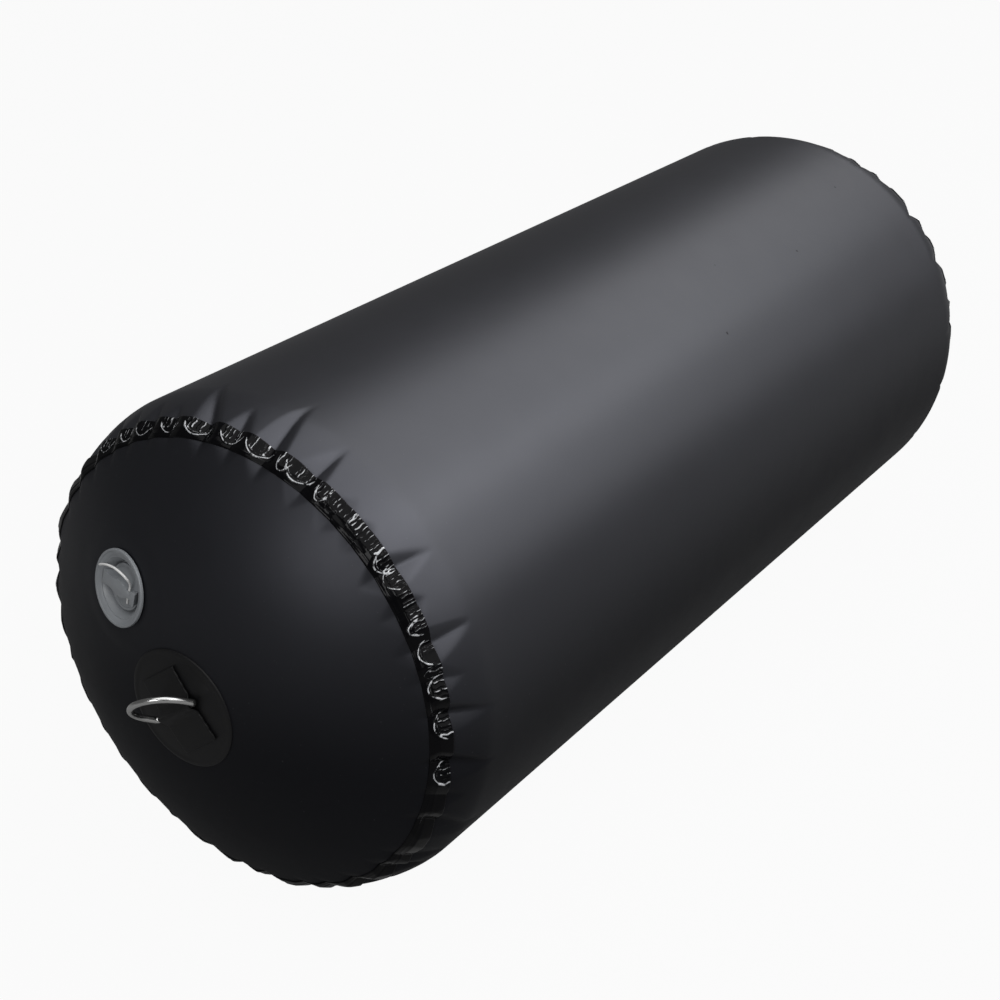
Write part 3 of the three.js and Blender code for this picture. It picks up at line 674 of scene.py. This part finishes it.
# %% [markdown]
# ## The ring's patch and strap
#
# A round patch is welded to the dome and spreads the ring's pull. A strap crosses it and passes over the
# ring's straight side like a bridge. Both are built flat and then laid on the dome: the patch by a spin, the
# strap from a grid that is lifted over the bar and given its thickness.

# %% Patch and strap sizes
PATCH_RADIUS = 53
PATCH_THICKNESS = 1.2
PATCH_PLACE = (-2, -9)
BORDER = 0.15
STRAP_WIDTH = 44
STRAP_LENGTH = 68
STRAP_THICKNESS = 2
WIRE_RADIUS = 2.75
RING_TURN = 37
PATCH_TOP = GAP + PATCH_THICKNESS
STRAP_FOOT = PATCH_TOP + GAP
BAR_HEIGHT = STRAP_FOOT + WIRE_RADIUS
BRIDGE_HALF = 9
ring_turn = Matrix.Rotation(math.radians(RING_TURN), 4, "Z")


def lay_on_dome(bm, turn=Matrix.Identity(4)):
    """Lay a flat fitting, modelled about the patch's centre, on an end's dome."""
    to_patch = Matrix.Translation(Vector((*PATCH_PLACE, 0)) * MM)
    transform(bm, to_patch @ turn)
    points = points_of(bm) / MM
    points[:, 2] += dome_height(np.hypot(points[:, 0], points[:, 1])) - FACET_SAG / 2
    move_points(bm, points * MM)


def make_patch(end, name, node):
    rows = [(0, WELD_LINE)] + [(r, WELD_LINE) for r in np.linspace(6, PATCH_RADIUS, 9)]
    rows += [(PATCH_RADIUS, 0.9), (PATCH_RADIUS - 0.25, 1.3), (PATCH_RADIUS - 0.9, PATCH_TOP)]
    rows += [(PATCH_RADIUS - 3.2, PATCH_TOP + BORDER), (PATCH_RADIUS - 4.2, PATCH_TOP - BORDER)]
    rows += [(r, PATCH_TOP - BORDER) for r in np.linspace(PATCH_RADIUS - 8, 6, 8)]
    rows += [(0, PATCH_TOP - BORDER)]
    bm = spun(rows, 144, closed=False, around=(0, 0, 1))
    lay_on_dome(bm)
    transform(bm, end_frame(end))
    return piece_from(bm, name, "fender", node)


def make_strap(end, name, node):
    bm = bmesh.new()
    bmesh.ops.create_grid(bm, x_segments=24, y_segments=68, size=0.5)
    bmesh.ops.scale(bm, vec=(STRAP_WIDTH * MM, STRAP_LENGTH * MM, 1), verts=bm.verts)
    bmesh.ops.solidify(bm, geom=bm.faces[:], thickness=-STRAP_THICKNESS * MM)
    rims = [e for e in bm.edges if len(e.link_faces) == 2 and e.calc_face_angle() > 1]
    soften(bm, rims, 0.6)
    points = points_of(bm) / MM
    low = points[:, 2].min()
    rise = np.cos(np.pi * np.clip(points[:, 1] / (2 * BRIDGE_HALF), -0.5, 0.5)) ** 2
    points[:, 2] += STRAP_FOOT - low + (2 * WIRE_RADIUS + GAP) * rise
    fray = 0.25 * np.sin(points[:, 1] * 0.8) * (np.abs(points[:, 0]) > STRAP_WIDTH / 2 - 1)
    points[:, 0] += np.sign(points[:, 0]) * fray
    move_points(bm, points * MM)
    lay_on_dome(bm, ring_turn)
    transform(bm, end_frame(end))
    return piece_from(bm, name, "fender", node)


front_patch = make_patch(FRONT, "front_round_patch", "front_ring_patch")
rear_patch = make_patch(REAR, "rear_round_patch", "rear_ring_patch")
front_strap = make_strap(FRONT, "front_bridge_strap", "front_ring_strap")
rear_strap = make_strap(REAR, "rear_bridge_strap", "rear_ring_strap")

# %% [markdown]
# ## The D-ring
#
# The ring is one length of stainless wire, bent round and butt-welded. It is made the same way here: a circle
# is pulled along the straight parts and spun about each corner until it meets its own start.

# %% D-rings
RING_WIDTH = 54
RING_REACH = 38
RING_CORNER = 4
RING_LEAN = 36


def pull(bm, loop, way):
    """Pull a loop of edges along a straight way, and give the new loop."""
    made = bmesh.ops.extrude_edge_only(bm, edges=loop)["geom"]
    verts = [item for item in made if isinstance(item, bmesh.types.BMVert)]
    bmesh.ops.translate(bm, verts=verts, vec=Vector(way) * MM)
    return [item for item in made if isinstance(item, bmesh.types.BMEdge) and not item.link_faces[1:]]


def turn_wire(bm, loop, centre, degrees, steps):
    """Spin a loop of edges about a corner in the ring's own plane, and give the new loop."""
    verts = list({v for e in loop for v in e.verts})
    last = bmesh.ops.spin(
        bm, geom=verts + loop, cent=Vector(centre) * MM, axis=(0, 0, 1),
        angle=math.radians(degrees), steps=steps, use_merge=False,
    )["geom_last"]
    return [item for item in last if isinstance(item, bmesh.types.BMEdge)]


def make_ring(end, name, node, body):
    half = RING_WIDTH / 2
    bm = bmesh.new()
    start = bmesh.ops.create_circle(bm, segments=20, radius=WIRE_RADIUS * MM)["verts"]
    bmesh.ops.rotate(bm, verts=start, cent=(0, 0, 0), matrix=Matrix.Rotation(math.pi / 2, 3, "Y"))
    loop = bm.edges[:]
    loop = pull(bm, loop, (half - RING_CORNER, 0, 0))
    loop = turn_wire(bm, loop, (half - RING_CORNER, RING_CORNER, 0), 90, 10)
    loop = pull(bm, loop, (0, RING_REACH - half - RING_CORNER, 0))
    loop = turn_wire(bm, loop, (0, RING_REACH - half, 0), 180, 40)
    loop = pull(bm, loop, (0, RING_CORNER + half - RING_REACH, 0))
    loop = turn_wire(bm, loop, (RING_CORNER - half, RING_CORNER, 0), 90, 10)
    pull(bm, loop, (half - RING_CORNER, 0, 0))
    bmesh.ops.remove_doubles(bm, verts=bm.verts, dist=0.01 * MM)
    height = float(dome_height(0)) + BAR_HEIGHT
    stand = Matrix.Rotation(math.radians(90 - RING_LEAN), 4, "X")
    place = Matrix.Translation(Vector((*PATCH_PLACE, height)) * MM) @ ring_turn @ stand
    transform(bm, end_frame(end) @ place)
    return piece_from(bm, name, body, node)


front_ring = make_ring(FRONT, "front_wire_ring", "front_d_ring", "front_ring")
rear_ring = make_ring(REAR, "rear_wire_ring", "rear_d_ring", "rear_ring")

# %% [markdown]
# ## The valve
#
# The valve is moulded in grey plastic. Its flange is a shallow dish with a thin raised rim, and a barrel goes
# through the sheet. A turned part is one spin of its section, so the section carries all the detail: the rim,
# the dish, the cup for the cap and the socket behind it.

# %% Valve body
BARREL_RADIUS = 25.5
BARREL_DEPTH = 11.5
CUP_RADIUS = 20.4
CUP_DEPTH = 9
SOCKET_RADIUS = 13
SOCKET_DEPTH = 28
SOCKET_WALL = 3
SEAT_RADIUS = 10
SEAT_THICKNESS = 2
FLANGE_HEIGHT = 2.5
BEAD_TOPS = (-11.2, -14.2)
BEAD_DEPTH = 0.7


def rounded(corner, radius, start, stop, count=5):
    """Points round a corner of a section, from one angle to another in degrees."""
    angles = np.radians(np.linspace(start, stop, count))
    return [(corner[0] + radius * math.cos(a), corner[1] + radius * math.sin(a)) for a in angles]


dish = [(29.6, 1.75), (28.2, 1.35), (26.4, 0.35), (24.6, -1.1), (23.0, -2.8), (21.8, -4.6), (20.9, -6.6)]
beads = []
for top in BEAD_TOPS:
    beads += [(SOCKET_RADIUS, top), (SOCKET_RADIUS - BEAD_DEPTH, top - 1)]
    beads += [(SOCKET_RADIUS - BEAD_DEPTH, top - 1.5), (SOCKET_RADIUS, top - 2.5)]
section = [(FLANGE_RADIUS, WELD_LINE)]
section += rounded((FLANGE_RADIUS - 0.7, FLANGE_HEIGHT - 0.7), 0.7, 0, 90)
section += rounded((FLANGE_RADIUS - 1.9, FLANGE_HEIGHT - 0.5), 0.5, 90, 190)
section += dish + [(CUP_RADIUS, -CUP_DEPTH + 0.4), (CUP_RADIUS - 0.4, -CUP_DEPTH)]
section += [(SOCKET_RADIUS + 0.4, -CUP_DEPTH), (SOCKET_RADIUS, -CUP_DEPTH - 0.4)] + beads
section += [(SOCKET_RADIUS, SEAT_THICKNESS - SOCKET_DEPTH), (SEAT_RADIUS, SEAT_THICKNESS - SOCKET_DEPTH)]
section += [(SEAT_RADIUS, -SOCKET_DEPTH), (SOCKET_RADIUS + SOCKET_WALL, -SOCKET_DEPTH)]
section += [(SOCKET_RADIUS + SOCKET_WALL, -BARREL_DEPTH), (BARREL_RADIUS, -BARREL_DEPTH)]
section += [(BARREL_RADIUS, WELD_LINE)]
bm = spun(section, 128, around=(0, 0, 1))
transform(bm, valve_frame)
valve_body = piece_from(bm, "moulded_valve_body", "fender", "valve_body", sharp=35)

# %% [markdown]
# ## The winged cap
#
# The cap is a lid with a wing across it for finger and thumb. The wing's plan is a broad tail, a waist, a
# full middle, a thin neck that the cord passes through, and an end block. It is drawn as one face, extruded,
# flared towards the top and bevelled, then joined to the lid.

# %% Cap
CAP_RADIUS = 19.6
CAP_FOOT = -7.4
CAP_TOP = -4.8
SKIRT_RADIUS = 12.6
SKIRT_WALL = 2
SKIRT_FOOT = -10.6
WING_TOP = 2
WING_FOOT = -6.4
WING_FOOT_HALF_LENGTH = 18
CORD_HOLE_RADIUS = 1.5
CORD_HOLE_ALONG = 10.5
CORD_HOLE_LEVEL = -1.2
WING_PLAN = [
    (-22.5, 6.5), (-18.5, 5.2), (-14, 4.6), (-9, 5.3), (-5, 6.3), (-1, 6.7), (4, 6.2), (8, 5), (10.8, 3.2),
    (13.2, 2.3), (16.2, 2.3), (17.2, 5.8), (22.5, 5.8),
]


def make_wing():
    bm = bmesh.new()
    plan = [(along, -half) for along, half in WING_PLAN]
    plan += [(along, half) for along, half in reversed(WING_PLAN)]
    foot = [bm.verts.new(Vector((*place, WING_FOOT)) * MM) for place in plan]
    made = bmesh.ops.extrude_face_region(bm, geom=[bm.faces.new(foot)])["geom"]
    top = [item for item in made if isinstance(item, bmesh.types.BMVert)]
    bmesh.ops.translate(bm, verts=top, vec=(0, 0, (WING_TOP - WING_FOOT) * MM))
    for vert in foot:
        if abs(vert.co.x) > WING_FOOT_HALF_LENGTH * MM:
            vert.co.x = math.copysign(WING_FOOT_HALF_LENGTH * MM, vert.co.x)
    bmesh.ops.remove_doubles(bm, verts=bm.verts, dist=0.01 * MM)
    bmesh.ops.recalc_face_normals(bm, faces=bm.faces)
    edges = [e for e in bm.edges if len(e.link_faces) == 2 and e.calc_face_angle() > 0.9]
    rims = [e for e in edges if max(v.co.z for v in e.verts) > 0]
    soften(bm, rims, 0.7)
    transform(bm, cap_frame)
    return object_from(bm, "wing")


lid = [(0, CAP_FOOT), (SKIRT_RADIUS - SKIRT_WALL, CAP_FOOT), (SKIRT_RADIUS - SKIRT_WALL, SKIRT_FOOT)]
lid += [(SKIRT_RADIUS, SKIRT_FOOT), (SKIRT_RADIUS, CAP_FOOT), (CAP_RADIUS, CAP_FOOT)]
lid += rounded((CAP_RADIUS - 0.6, CAP_TOP - 0.6), 0.6, 0, 90) + [(CAP_RADIUS - 2.2, CAP_TOP)]
lid += [(CAP_RADIUS - 2.8, CAP_TOP - 0.5), (0, CAP_TOP - 0.5)]
bm = spun(lid, 96, closed=False, around=(0, 0, 1))
transform(bm, cap_frame)
valve_cap = piece_from(bm, "winged_valve_cap", "cap", "valve_cap", sharp=35)
carve(valve_cap, make_wing(), "UNION")
across_wing = cap_frame @ Matrix.Translation(Vector((CORD_HOLE_ALONG, 0, CORD_HOLE_LEVEL)) * MM)
across_wing = across_wing @ Matrix.Rotation(math.pi / 2, 4, "X")
carve(valve_cap, cylinder(CORD_HOLE_RADIUS, -12, 12, across_wing, 24))
shade(valve_cap, 35)
print("cap", len(valve_cap.data.polygons), "faces")

# %% [markdown]
# ## The closing spring
#
# Under the cap a small coil spring holds the stem up. One end stands on the fixed guide and the other bears
# on the stem's button, so it gets shorter when the stem is pushed. A disc spun with a rise at every step
# makes the coil.

# %% Closing spring
SPRING_RADIUS = 3.4
SPRING_WIRE = 0.35
SPRING_TURNS = 3
SPRING_STEPS = 28
SPRING_LOW = -21.35
SPRING_HIGH = -14.45

bm = bmesh.new()
start = Matrix.Translation(Vector((SPRING_RADIUS, 0, SPRING_LOW)) * MM) @ Matrix.Rotation(math.pi / 2, 4, "X")
bmesh.ops.create_circle(bm, cap_ends=True, segments=10, radius=SPRING_WIRE * MM, matrix=start)
rise = (SPRING_HIGH - SPRING_LOW) * MM / (SPRING_TURNS * SPRING_STEPS)
bmesh.ops.spin(
    bm, geom=bm.verts[:] + bm.edges[:] + bm.faces[:], cent=(0, 0, 0), axis=(0, 0, 1), dvec=(0, 0, rise),
    angle=2 * math.pi * SPRING_TURNS, steps=SPRING_TURNS * SPRING_STEPS,
)
transform(bm, valve_frame)
spring = piece_from(bm, "closing_spring", None, "valve_spring")
spring_foot, spring_top = (valve_frame @ Vector((0, 0, level * MM)) for level in (SPRING_LOW, SPRING_HIGH))
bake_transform(spring)
print("spring", SPRING_HIGH - SPRING_LOW + 2 * SPRING_WIRE, "mm long")

# %% [markdown]
# ## Writing shader maths as sums
#
# Shader nodes are joined by hand in the editor, but in code a sum reads better as a sum. A Wire holds one
# socket, and +, - and * on it add the Math nodes. Every other node comes from one method, which takes the
# node's type, its settings and its sockets.


# %% Paint box
class Wire:
    """One output socket of a material, which can be used in a sum."""

    def __init__(self, paint, socket):
        self.paint, self.socket = paint, socket

    def maths(self, operation, *values):
        return self.paint.node("Math", {"operation": operation}, dict(enumerate(values)))

    def __add__(self, other):
        return self.maths("ADD", self, other)

    def __sub__(self, other):
        return self.maths("SUBTRACT", self, other)

    def __mul__(self, other):
        return self.maths("MULTIPLY", self, other)

    def __rsub__(self, other):
        return self.maths("SUBTRACT", other, self)

    __radd__ = __add__
    __rmul__ = __mul__


class Paint:
    """One material, or the world, and the nodes in it."""

    def __init__(self, name, kept_in=bpy.data.materials):
        self.material = kept_in.new(name)
        self.material.use_nodes = True
        self.tree = self.material.node_tree
        self.tree.nodes.clear()

    def node(self, kind, settings=None, inputs=None, output=0):
        made = self.tree.nodes.new("ShaderNode" + kind)
        for name, value in (settings or {}).items():
            setattr(made, name, value)
        for name, value in (inputs or {}).items():
            if isinstance(value, Wire):
                self.tree.links.new(value.socket, made.inputs[name])
            else:
                made.inputs[name].default_value = value
        return Wire(self, made.outputs[output]) if made.outputs else None

    def place(self, output="Object"):
        return self.node("TexCoord", output=output)

    def noise(self, scale, detail, roughness, at=None, distortion=0.0):
        return self.node("TexNoise", {}, {
            "Vector": at or self.place(), "Scale": scale, "Detail": detail, "Roughness": roughness,
            "Distortion": distortion,
        })

    def grow(self, value, low, high):
        """0 below low, 1 above high, and smooth between them."""
        return self.node("MapRange", {"interpolation_type": "SMOOTHSTEP"}, {
            "Value": value, "From Min": low, "From Max": high,
        })

    def blend(self, share, first, second):
        return self.node("Mix", {"data_type": "RGBA"}, {0: share, 6: first, 7: second}, output=2)

    def nicks(self, at, rough_edge):
        """1 in the small nicks of the sleeve, 0 elsewhere."""
        share = 0
        for along, angle, size in NICKS:
            turn = math.radians(angle)
            side, up = BODY_RADIUS * math.sin(turn), BODY_RADIUS * math.cos(turn)
            middle = Vector((along, side, up + AXIS_HEIGHT)) * MM
            away = self.node("VectorMath", {"operation": "DISTANCE"}, {0: at, 1: middle}, output=1)
            spot = self.grow(away + rough_edge * size * MM, size * MM, 0.6 * size * MM)
            share = spot.maths("MAXIMUM", share, spot)
        return share

    def bump(self, height, depth, strength=1.0, under=None):
        inputs = {"Height": height, "Distance": depth, "Strength": strength}
        if under:
            inputs["Normal"] = under
        return self.node("Bump", {}, inputs)

    def shader(self, **inputs):
        """A Principled shader, whose sockets are named in small letters."""
        names = {key: key.replace("_", " ").title().replace("Ior", "IOR") for key in inputs}
        return self.node("BsdfPrincipled", {}, {names[key]: value for key, value in inputs.items()})

    def finish(self, shader, output="OutputMaterial"):
        self.node(output, {}, {"Surface": shader})
        return self.material


def dress(material, *pieces):
    """Give pieces their material, in place of any that they have."""
    for piece in pieces:
        piece.data.materials.clear()
        piece.data.materials.append(material)
    print(material.name, "on", *(piece.name for piece in pieces))


# %% [markdown]
# ## PVC-coated cloth
#
# The cloth is satin black with a slight blue cast. Its gloss comes from the coating, which has fine pores
# and a faint grain. Handling leaves broad soft patches that shine a little less, a few pale scuffs and tiny
# specks. Four nicks are painted nearly black and without sheen: painted shade in their cuts. The underside
# and the discs carry painted shade too: a glossy shader and a dull copy that hardly reflects are mixed by
# height, and the discs get more of the dull copy, so they render darker than the top.


# %% Cloth
# The sleeve is glossy above this height in metres; below half of it a dull copy paints shade on the underside
SHADED_BELOW = 0.35
COOL = (0.86, 0.88, 1.0, 1)
# Each nick's distance from the middle in millimetres, its angle from the top in degrees, and its size
NICKS = [(22, -45.9, 4.2), (225, -37.2, 3.4), (394, -26.4, 3.4), (90, -29.2, 2.2)]


def cloth(name, dull):
    paint = Paint(name)
    at = paint.place()
    broad = paint.noise(3.2, 3, 0.55)
    medium = paint.noise(26, 3, 0.6)
    fine = paint.noise(900, 2, 0.6)
    scuffs = paint.grow(paint.noise(40, 4, 0.7, distortion=0.8), 0.68, 0.8)
    specks = paint.grow(paint.noise(420, 1, 0.4), 0.76, 0.82)
    pores = paint.noise(1500, 1, 0.5)
    colour = paint.blend(broad, (0.0042, 0.0044, 0.0054, 1), (0.0066, 0.0068, 0.0084, 1))
    colour = paint.blend(scuffs * 0.35, colour, (0.022, 0.022, 0.025, 1))
    colour = paint.blend(specks * 0.5, colour, (0.04, 0.04, 0.043, 1))
    # Painted shade: the nicks are painted nearly black, and below they take the dull copy without sheen
    nick_shade = paint.nicks(at, fine)
    colour = paint.blend(nick_shade, colour, (0.0008, 0.0008, 0.0008, 1))
    roughness = 0.42 + 0.07 * (broad - 0.5) + 0.06 * (medium - 0.5) + 0.05 * (fine - 0.5) + 0.08 * scuffs
    normal = paint.bump(medium, 0.5 * MM, 0.25)
    normal = paint.bump(pores + fine, 0.05 * MM, 0.35, under=normal)
    common = {"base_color": colour, "normal": normal, "specular_tint": COOL}
    satin = paint.shader(roughness=roughness, specular_ior_level=0.95, **common)
    matt = paint.shader(roughness=roughness + 0.12, specular_ior_level=0.1, **common)
    # Painted shade: a dull copy that hardly reflects is mixed in low on the sleeve and over the discs, so
    # they render darker
    height = paint.node("SeparateXYZ", {}, {"Vector": at}, output=2)
    share = paint.grow(height, SHADED_BELOW, 0.5 * SHADED_BELOW) * (1 - dull) + dull
    mixed = paint.node("MixShader", {}, {0: share.maths("MAXIMUM", share, nick_shade), 1: satin, 2: matt})
    return paint.finish(mixed)


dress(cloth("satin_pvc_sleeve", 0.0), sleeve)
dress(cloth("satin_pvc_disc", 0.55), front_disc, rear_disc)


# %% [markdown]
# ## Tape, patch and strap
#
# The tape is the same plastic with a polished face. It is deep black where it lies flat. Along the crests of
# its wrinkles, which its points carry as an attribute, it has painted glints: a pale colour and a shinier
# copy of the film are mixed in there. The patch and strap are plain coated cloth, a little rougher than the
# sheet.


# %% Tape and patch
def tape_finish():
    paint = Paint("glossy_seam_tape")
    crest = paint.node("Attribute", {"attribute_name": "crest"}, output=2)
    ripple = paint.noise(160, 3, 0.6)
    broken = paint.grow(paint.noise(210, 2, 0.6), 0.36, 0.54)
    # Painted glints: the crests are painted pale and take a shinier copy of the film
    painted_glints = paint.grow(crest, 0.42, 0.78) * broken
    colour = paint.blend(ripple, (0.0016, 0.0016, 0.002, 1), (0.0034, 0.0034, 0.004, 1))
    colour = paint.blend(painted_glints, colour, (0.5, 0.51, 0.53, 1))
    roughness = 0.1 + 0.1 * paint.grow(ripple, 0.45, 0.7)
    normal = paint.bump(ripple, 0.3 * MM, 0.4)
    common = {"base_color": colour, "roughness": roughness, "normal": normal}
    film = paint.shader(specular_ior_level=0.08, **common)
    crests = paint.shader(specular_ior_level=0.9, **common)
    return paint.finish(paint.node("MixShader", {}, {0: painted_glints, 1: film, 2: crests}))


def patch_finish(name, tone):
    paint = Paint(name)
    broad = paint.noise(18, 3, 0.6)
    grain = paint.noise(1100, 2, 0.6)
    colour = paint.blend(broad, (0.5 * tone, 0.5 * tone, 0.55 * tone, 1), (tone, tone, 1.15 * tone, 1))
    roughness = 0.5 + 0.12 * (broad - 0.5) + 0.08 * (grain - 0.5)
    normal = paint.bump(broad, 0.8 * MM, 0.25)
    normal = paint.bump(grain, 0.06 * MM, 0.4, under=normal)
    common = {"base_color": colour, "roughness": roughness, "normal": normal}
    return paint.finish(paint.shader(specular_ior_level=0.25, **common))


dress(tape_finish(), front_tape, rear_tape, strip)
dress(patch_finish("coated_patch", 0.006), front_patch, rear_patch)
dress(patch_finish("coated_strap", 0.004), front_strap, rear_strap)


# %% [markdown]
# ## Steel, plastic, rubber and cord
#
# The ring is polished stainless with fine drawn lines. The valve is satin grey plastic with a faint mould
# texture. The seals are matt rubber, and the cord is braided, so its height follows the cord's own length and
# girth, and its colour is darker between the strands, a painted shade in the braid's grooves.


# %% Steel, plastic, rubber and cord
TURNS_OF_BRAID = 44
STRANDS_ROUND = 2


def steel_finish(name):
    paint = Paint(name)
    streak = paint.node("Mapping", {}, {"Vector": paint.place(), "Scale": (180, 900, 900)})
    lines = paint.noise(1, 3, 0.6, at=streak)
    broad = paint.noise(60, 2, 0.5)
    colour = paint.blend(broad, (0.5, 0.5, 0.5, 1), (0.66, 0.66, 0.65, 1))
    roughness = 0.14 + 0.12 * lines + 0.06 * broad
    normal = paint.bump(lines, 0.03 * MM, 0.3)
    return paint.finish(paint.shader(base_color=colour, metallic=1.0, roughness=roughness, normal=normal))


def plastic_finish(name, light, dark):
    paint = Paint(name)
    broad = paint.noise(45, 3, 0.55)
    grain = paint.noise(1600, 2, 0.6)
    colour = paint.blend(broad, (*dark, 1), (*light, 1))
    roughness = 0.36 + 0.12 * (broad - 0.5) + 0.1 * (grain - 0.5)
    normal = paint.bump(grain, 0.04 * MM, 0.4)
    common = {"base_color": colour, "roughness": roughness, "normal": normal}
    return paint.finish(paint.shader(specular_ior_level=0.45, **common))


def rubber_finish():
    paint = Paint("matt_rubber")
    grain = paint.noise(900, 3, 0.6)
    colour = paint.blend(grain, (0.012, 0.012, 0.012, 1), (0.03, 0.03, 0.03, 1))
    normal = paint.bump(grain, 0.08 * MM, 0.5)
    return paint.finish(paint.shader(base_color=colour, roughness=0.7 + 0.1 * grain, normal=normal))


def cord_finish():
    paint = Paint("white_braid")
    at = paint.place("UV")
    along, around = (paint.node("SeparateXYZ", {}, {"Vector": at}, output=part) * times
                     for part, times in enumerate((TURNS_OF_BRAID, STRANDS_ROUND)))
    one = along.maths("PINGPONG", along + around, 0.5)
    other = along.maths("PINGPONG", along - around, 0.5)
    strands = one * other * 4
    # Painted shade: the white is darker where the strands dip, in the braid's grooves
    colour = paint.blend(strands, (0.7, 0.7, 0.69, 1), (0.9, 0.9, 0.89, 1))
    normal = paint.bump(strands, 0.15 * MM, 0.8)
    return paint.finish(paint.shader(base_color=colour, roughness=0.6, normal=normal))


def node_objects(*names):
    return [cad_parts[name] for name in names]


dress(steel_finish("polished_stainless"), front_ring, rear_ring)
dress(steel_finish("spring_steel"), spring)
grey = plastic_finish("satin_grey_plastic", (0.27, 0.285, 0.3), (0.2, 0.21, 0.225))
dress(grey, valve_body, valve_cap, *node_objects("valve_back_nut", "valve_stem_guide", "valve_stem"))
dress(rubber_finish(), *node_objects("valve_washer", "valve_poppet_seal", "cap_seal"))
dress(cord_finish(), cap_cord)

# %% [markdown]
# ## What the sheets were before they were welded
#
# Cloth hardly stretches, so the finished shape has to match the flat cuts. The sleeve was a rectangle, a
# little longer than the straight line between the seams because it also runs over the shoulders. Each disc
# was a circle as wide as the dome's own arc.

# %% [markdown]
# ## Floor and light
#
# The shine on the sleeve runs evenly from end to end, so its lamps are long and lie along the fender: a wide
# panel above it, a lower one at its side, and a thin bright strip for the fine glints on the tape and the
# ring. A small panel in front lights the end. The floor and the world are white to the camera, but they send
# little light back, so the fender stays dark and its soft shadow stays faint.

# %% Floor
FLOOR_HALF = 9
FLOOR_RAYS = ("Is Camera Ray", "Is Glossy Ray", "Is Transmission Ray")
WHITE_SEEN = 0.95
WHITE_REFLECTED = 0.1
FLOOR_GREY = 0.22


def make_floor():
    bm = bmesh.new()
    bmesh.ops.create_grid(bm, x_segments=1, y_segments=1, size=FLOOR_HALF)
    floor = object_from(bm, "floor")
    paint = Paint("white_floor")
    seen, glossy, through = (paint.node("LightPath", output=name) for name in FLOOR_RAYS)
    share = seen.maths("MAXIMUM", seen * WHITE_SEEN, (glossy + through) * WHITE_REFLECTED)
    plain = paint.node("BsdfDiffuse", {}, {"Color": (FLOOR_GREY, FLOOR_GREY, FLOOR_GREY, 1)})
    white = paint.node("Emission", {}, {"Color": (1, 1, 1, 1), "Strength": 1.0})
    dress(paint.finish(paint.node("MixShader", {}, {0: share, 1: plain, 2: white})), floor)


make_floor()


# %% Lights
def panel(name, place, aim, size, radiance):
    """A soft rectangular lamp whose face shines at a given level, where 1 is white."""
    light = bpy.data.lights.new(name, "AREA")
    light.shape = "RECTANGLE"
    light.size, light.size_y = size
    light.energy = radiance * math.pi * size[0] * size[1]
    holder = add_object(name, light)
    holder.location = place
    holder.rotation_mode = "QUATERNION"
    holder.rotation_quaternion = (Vector(aim) - Vector(place)).to_track_quat("-Z", "Y")
    holder.visible_camera = False
    print(name, size, "m at level", radiance)


panel("ceiling", (1.1, -0.75, 2.5), (1.1, -0.75, 0), (7.0, 2.9), 1.5)
panel("side_panel", (1.1, -2.95, 1.92), (1.1, 0, 0.3), (7.0, 1.75), 1.5)
panel("front_panel", (-3.3, -0.5, 1.45), (-0.52, -0.12, 0.37), (1.2, 1.0), 6)
panel("strip_lamp", (0.9, -1.7, 2.48), (0.9, -1.7, 0), (4.4, 0.05), 34)

# %% World
AMBIENT = 0.11
sky = Paint("studio", bpy.data.worlds)
bpy.context.scene.world = sky.material
seen = sky.node("LightPath", output="Is Camera Ray")
dim = sky.node("Background", {}, {"Color": (1, 1, 1, 1), "Strength": AMBIENT})
bright = sky.node("Background", {}, {"Color": (1, 1, 1, 1), "Strength": 1.0})
sky.finish(sky.node("MixShader", {}, {0: seen, 1: dim, 2: bright}), "OutputWorld")
bpy.context.scene.view_settings.view_transform = "Standard"
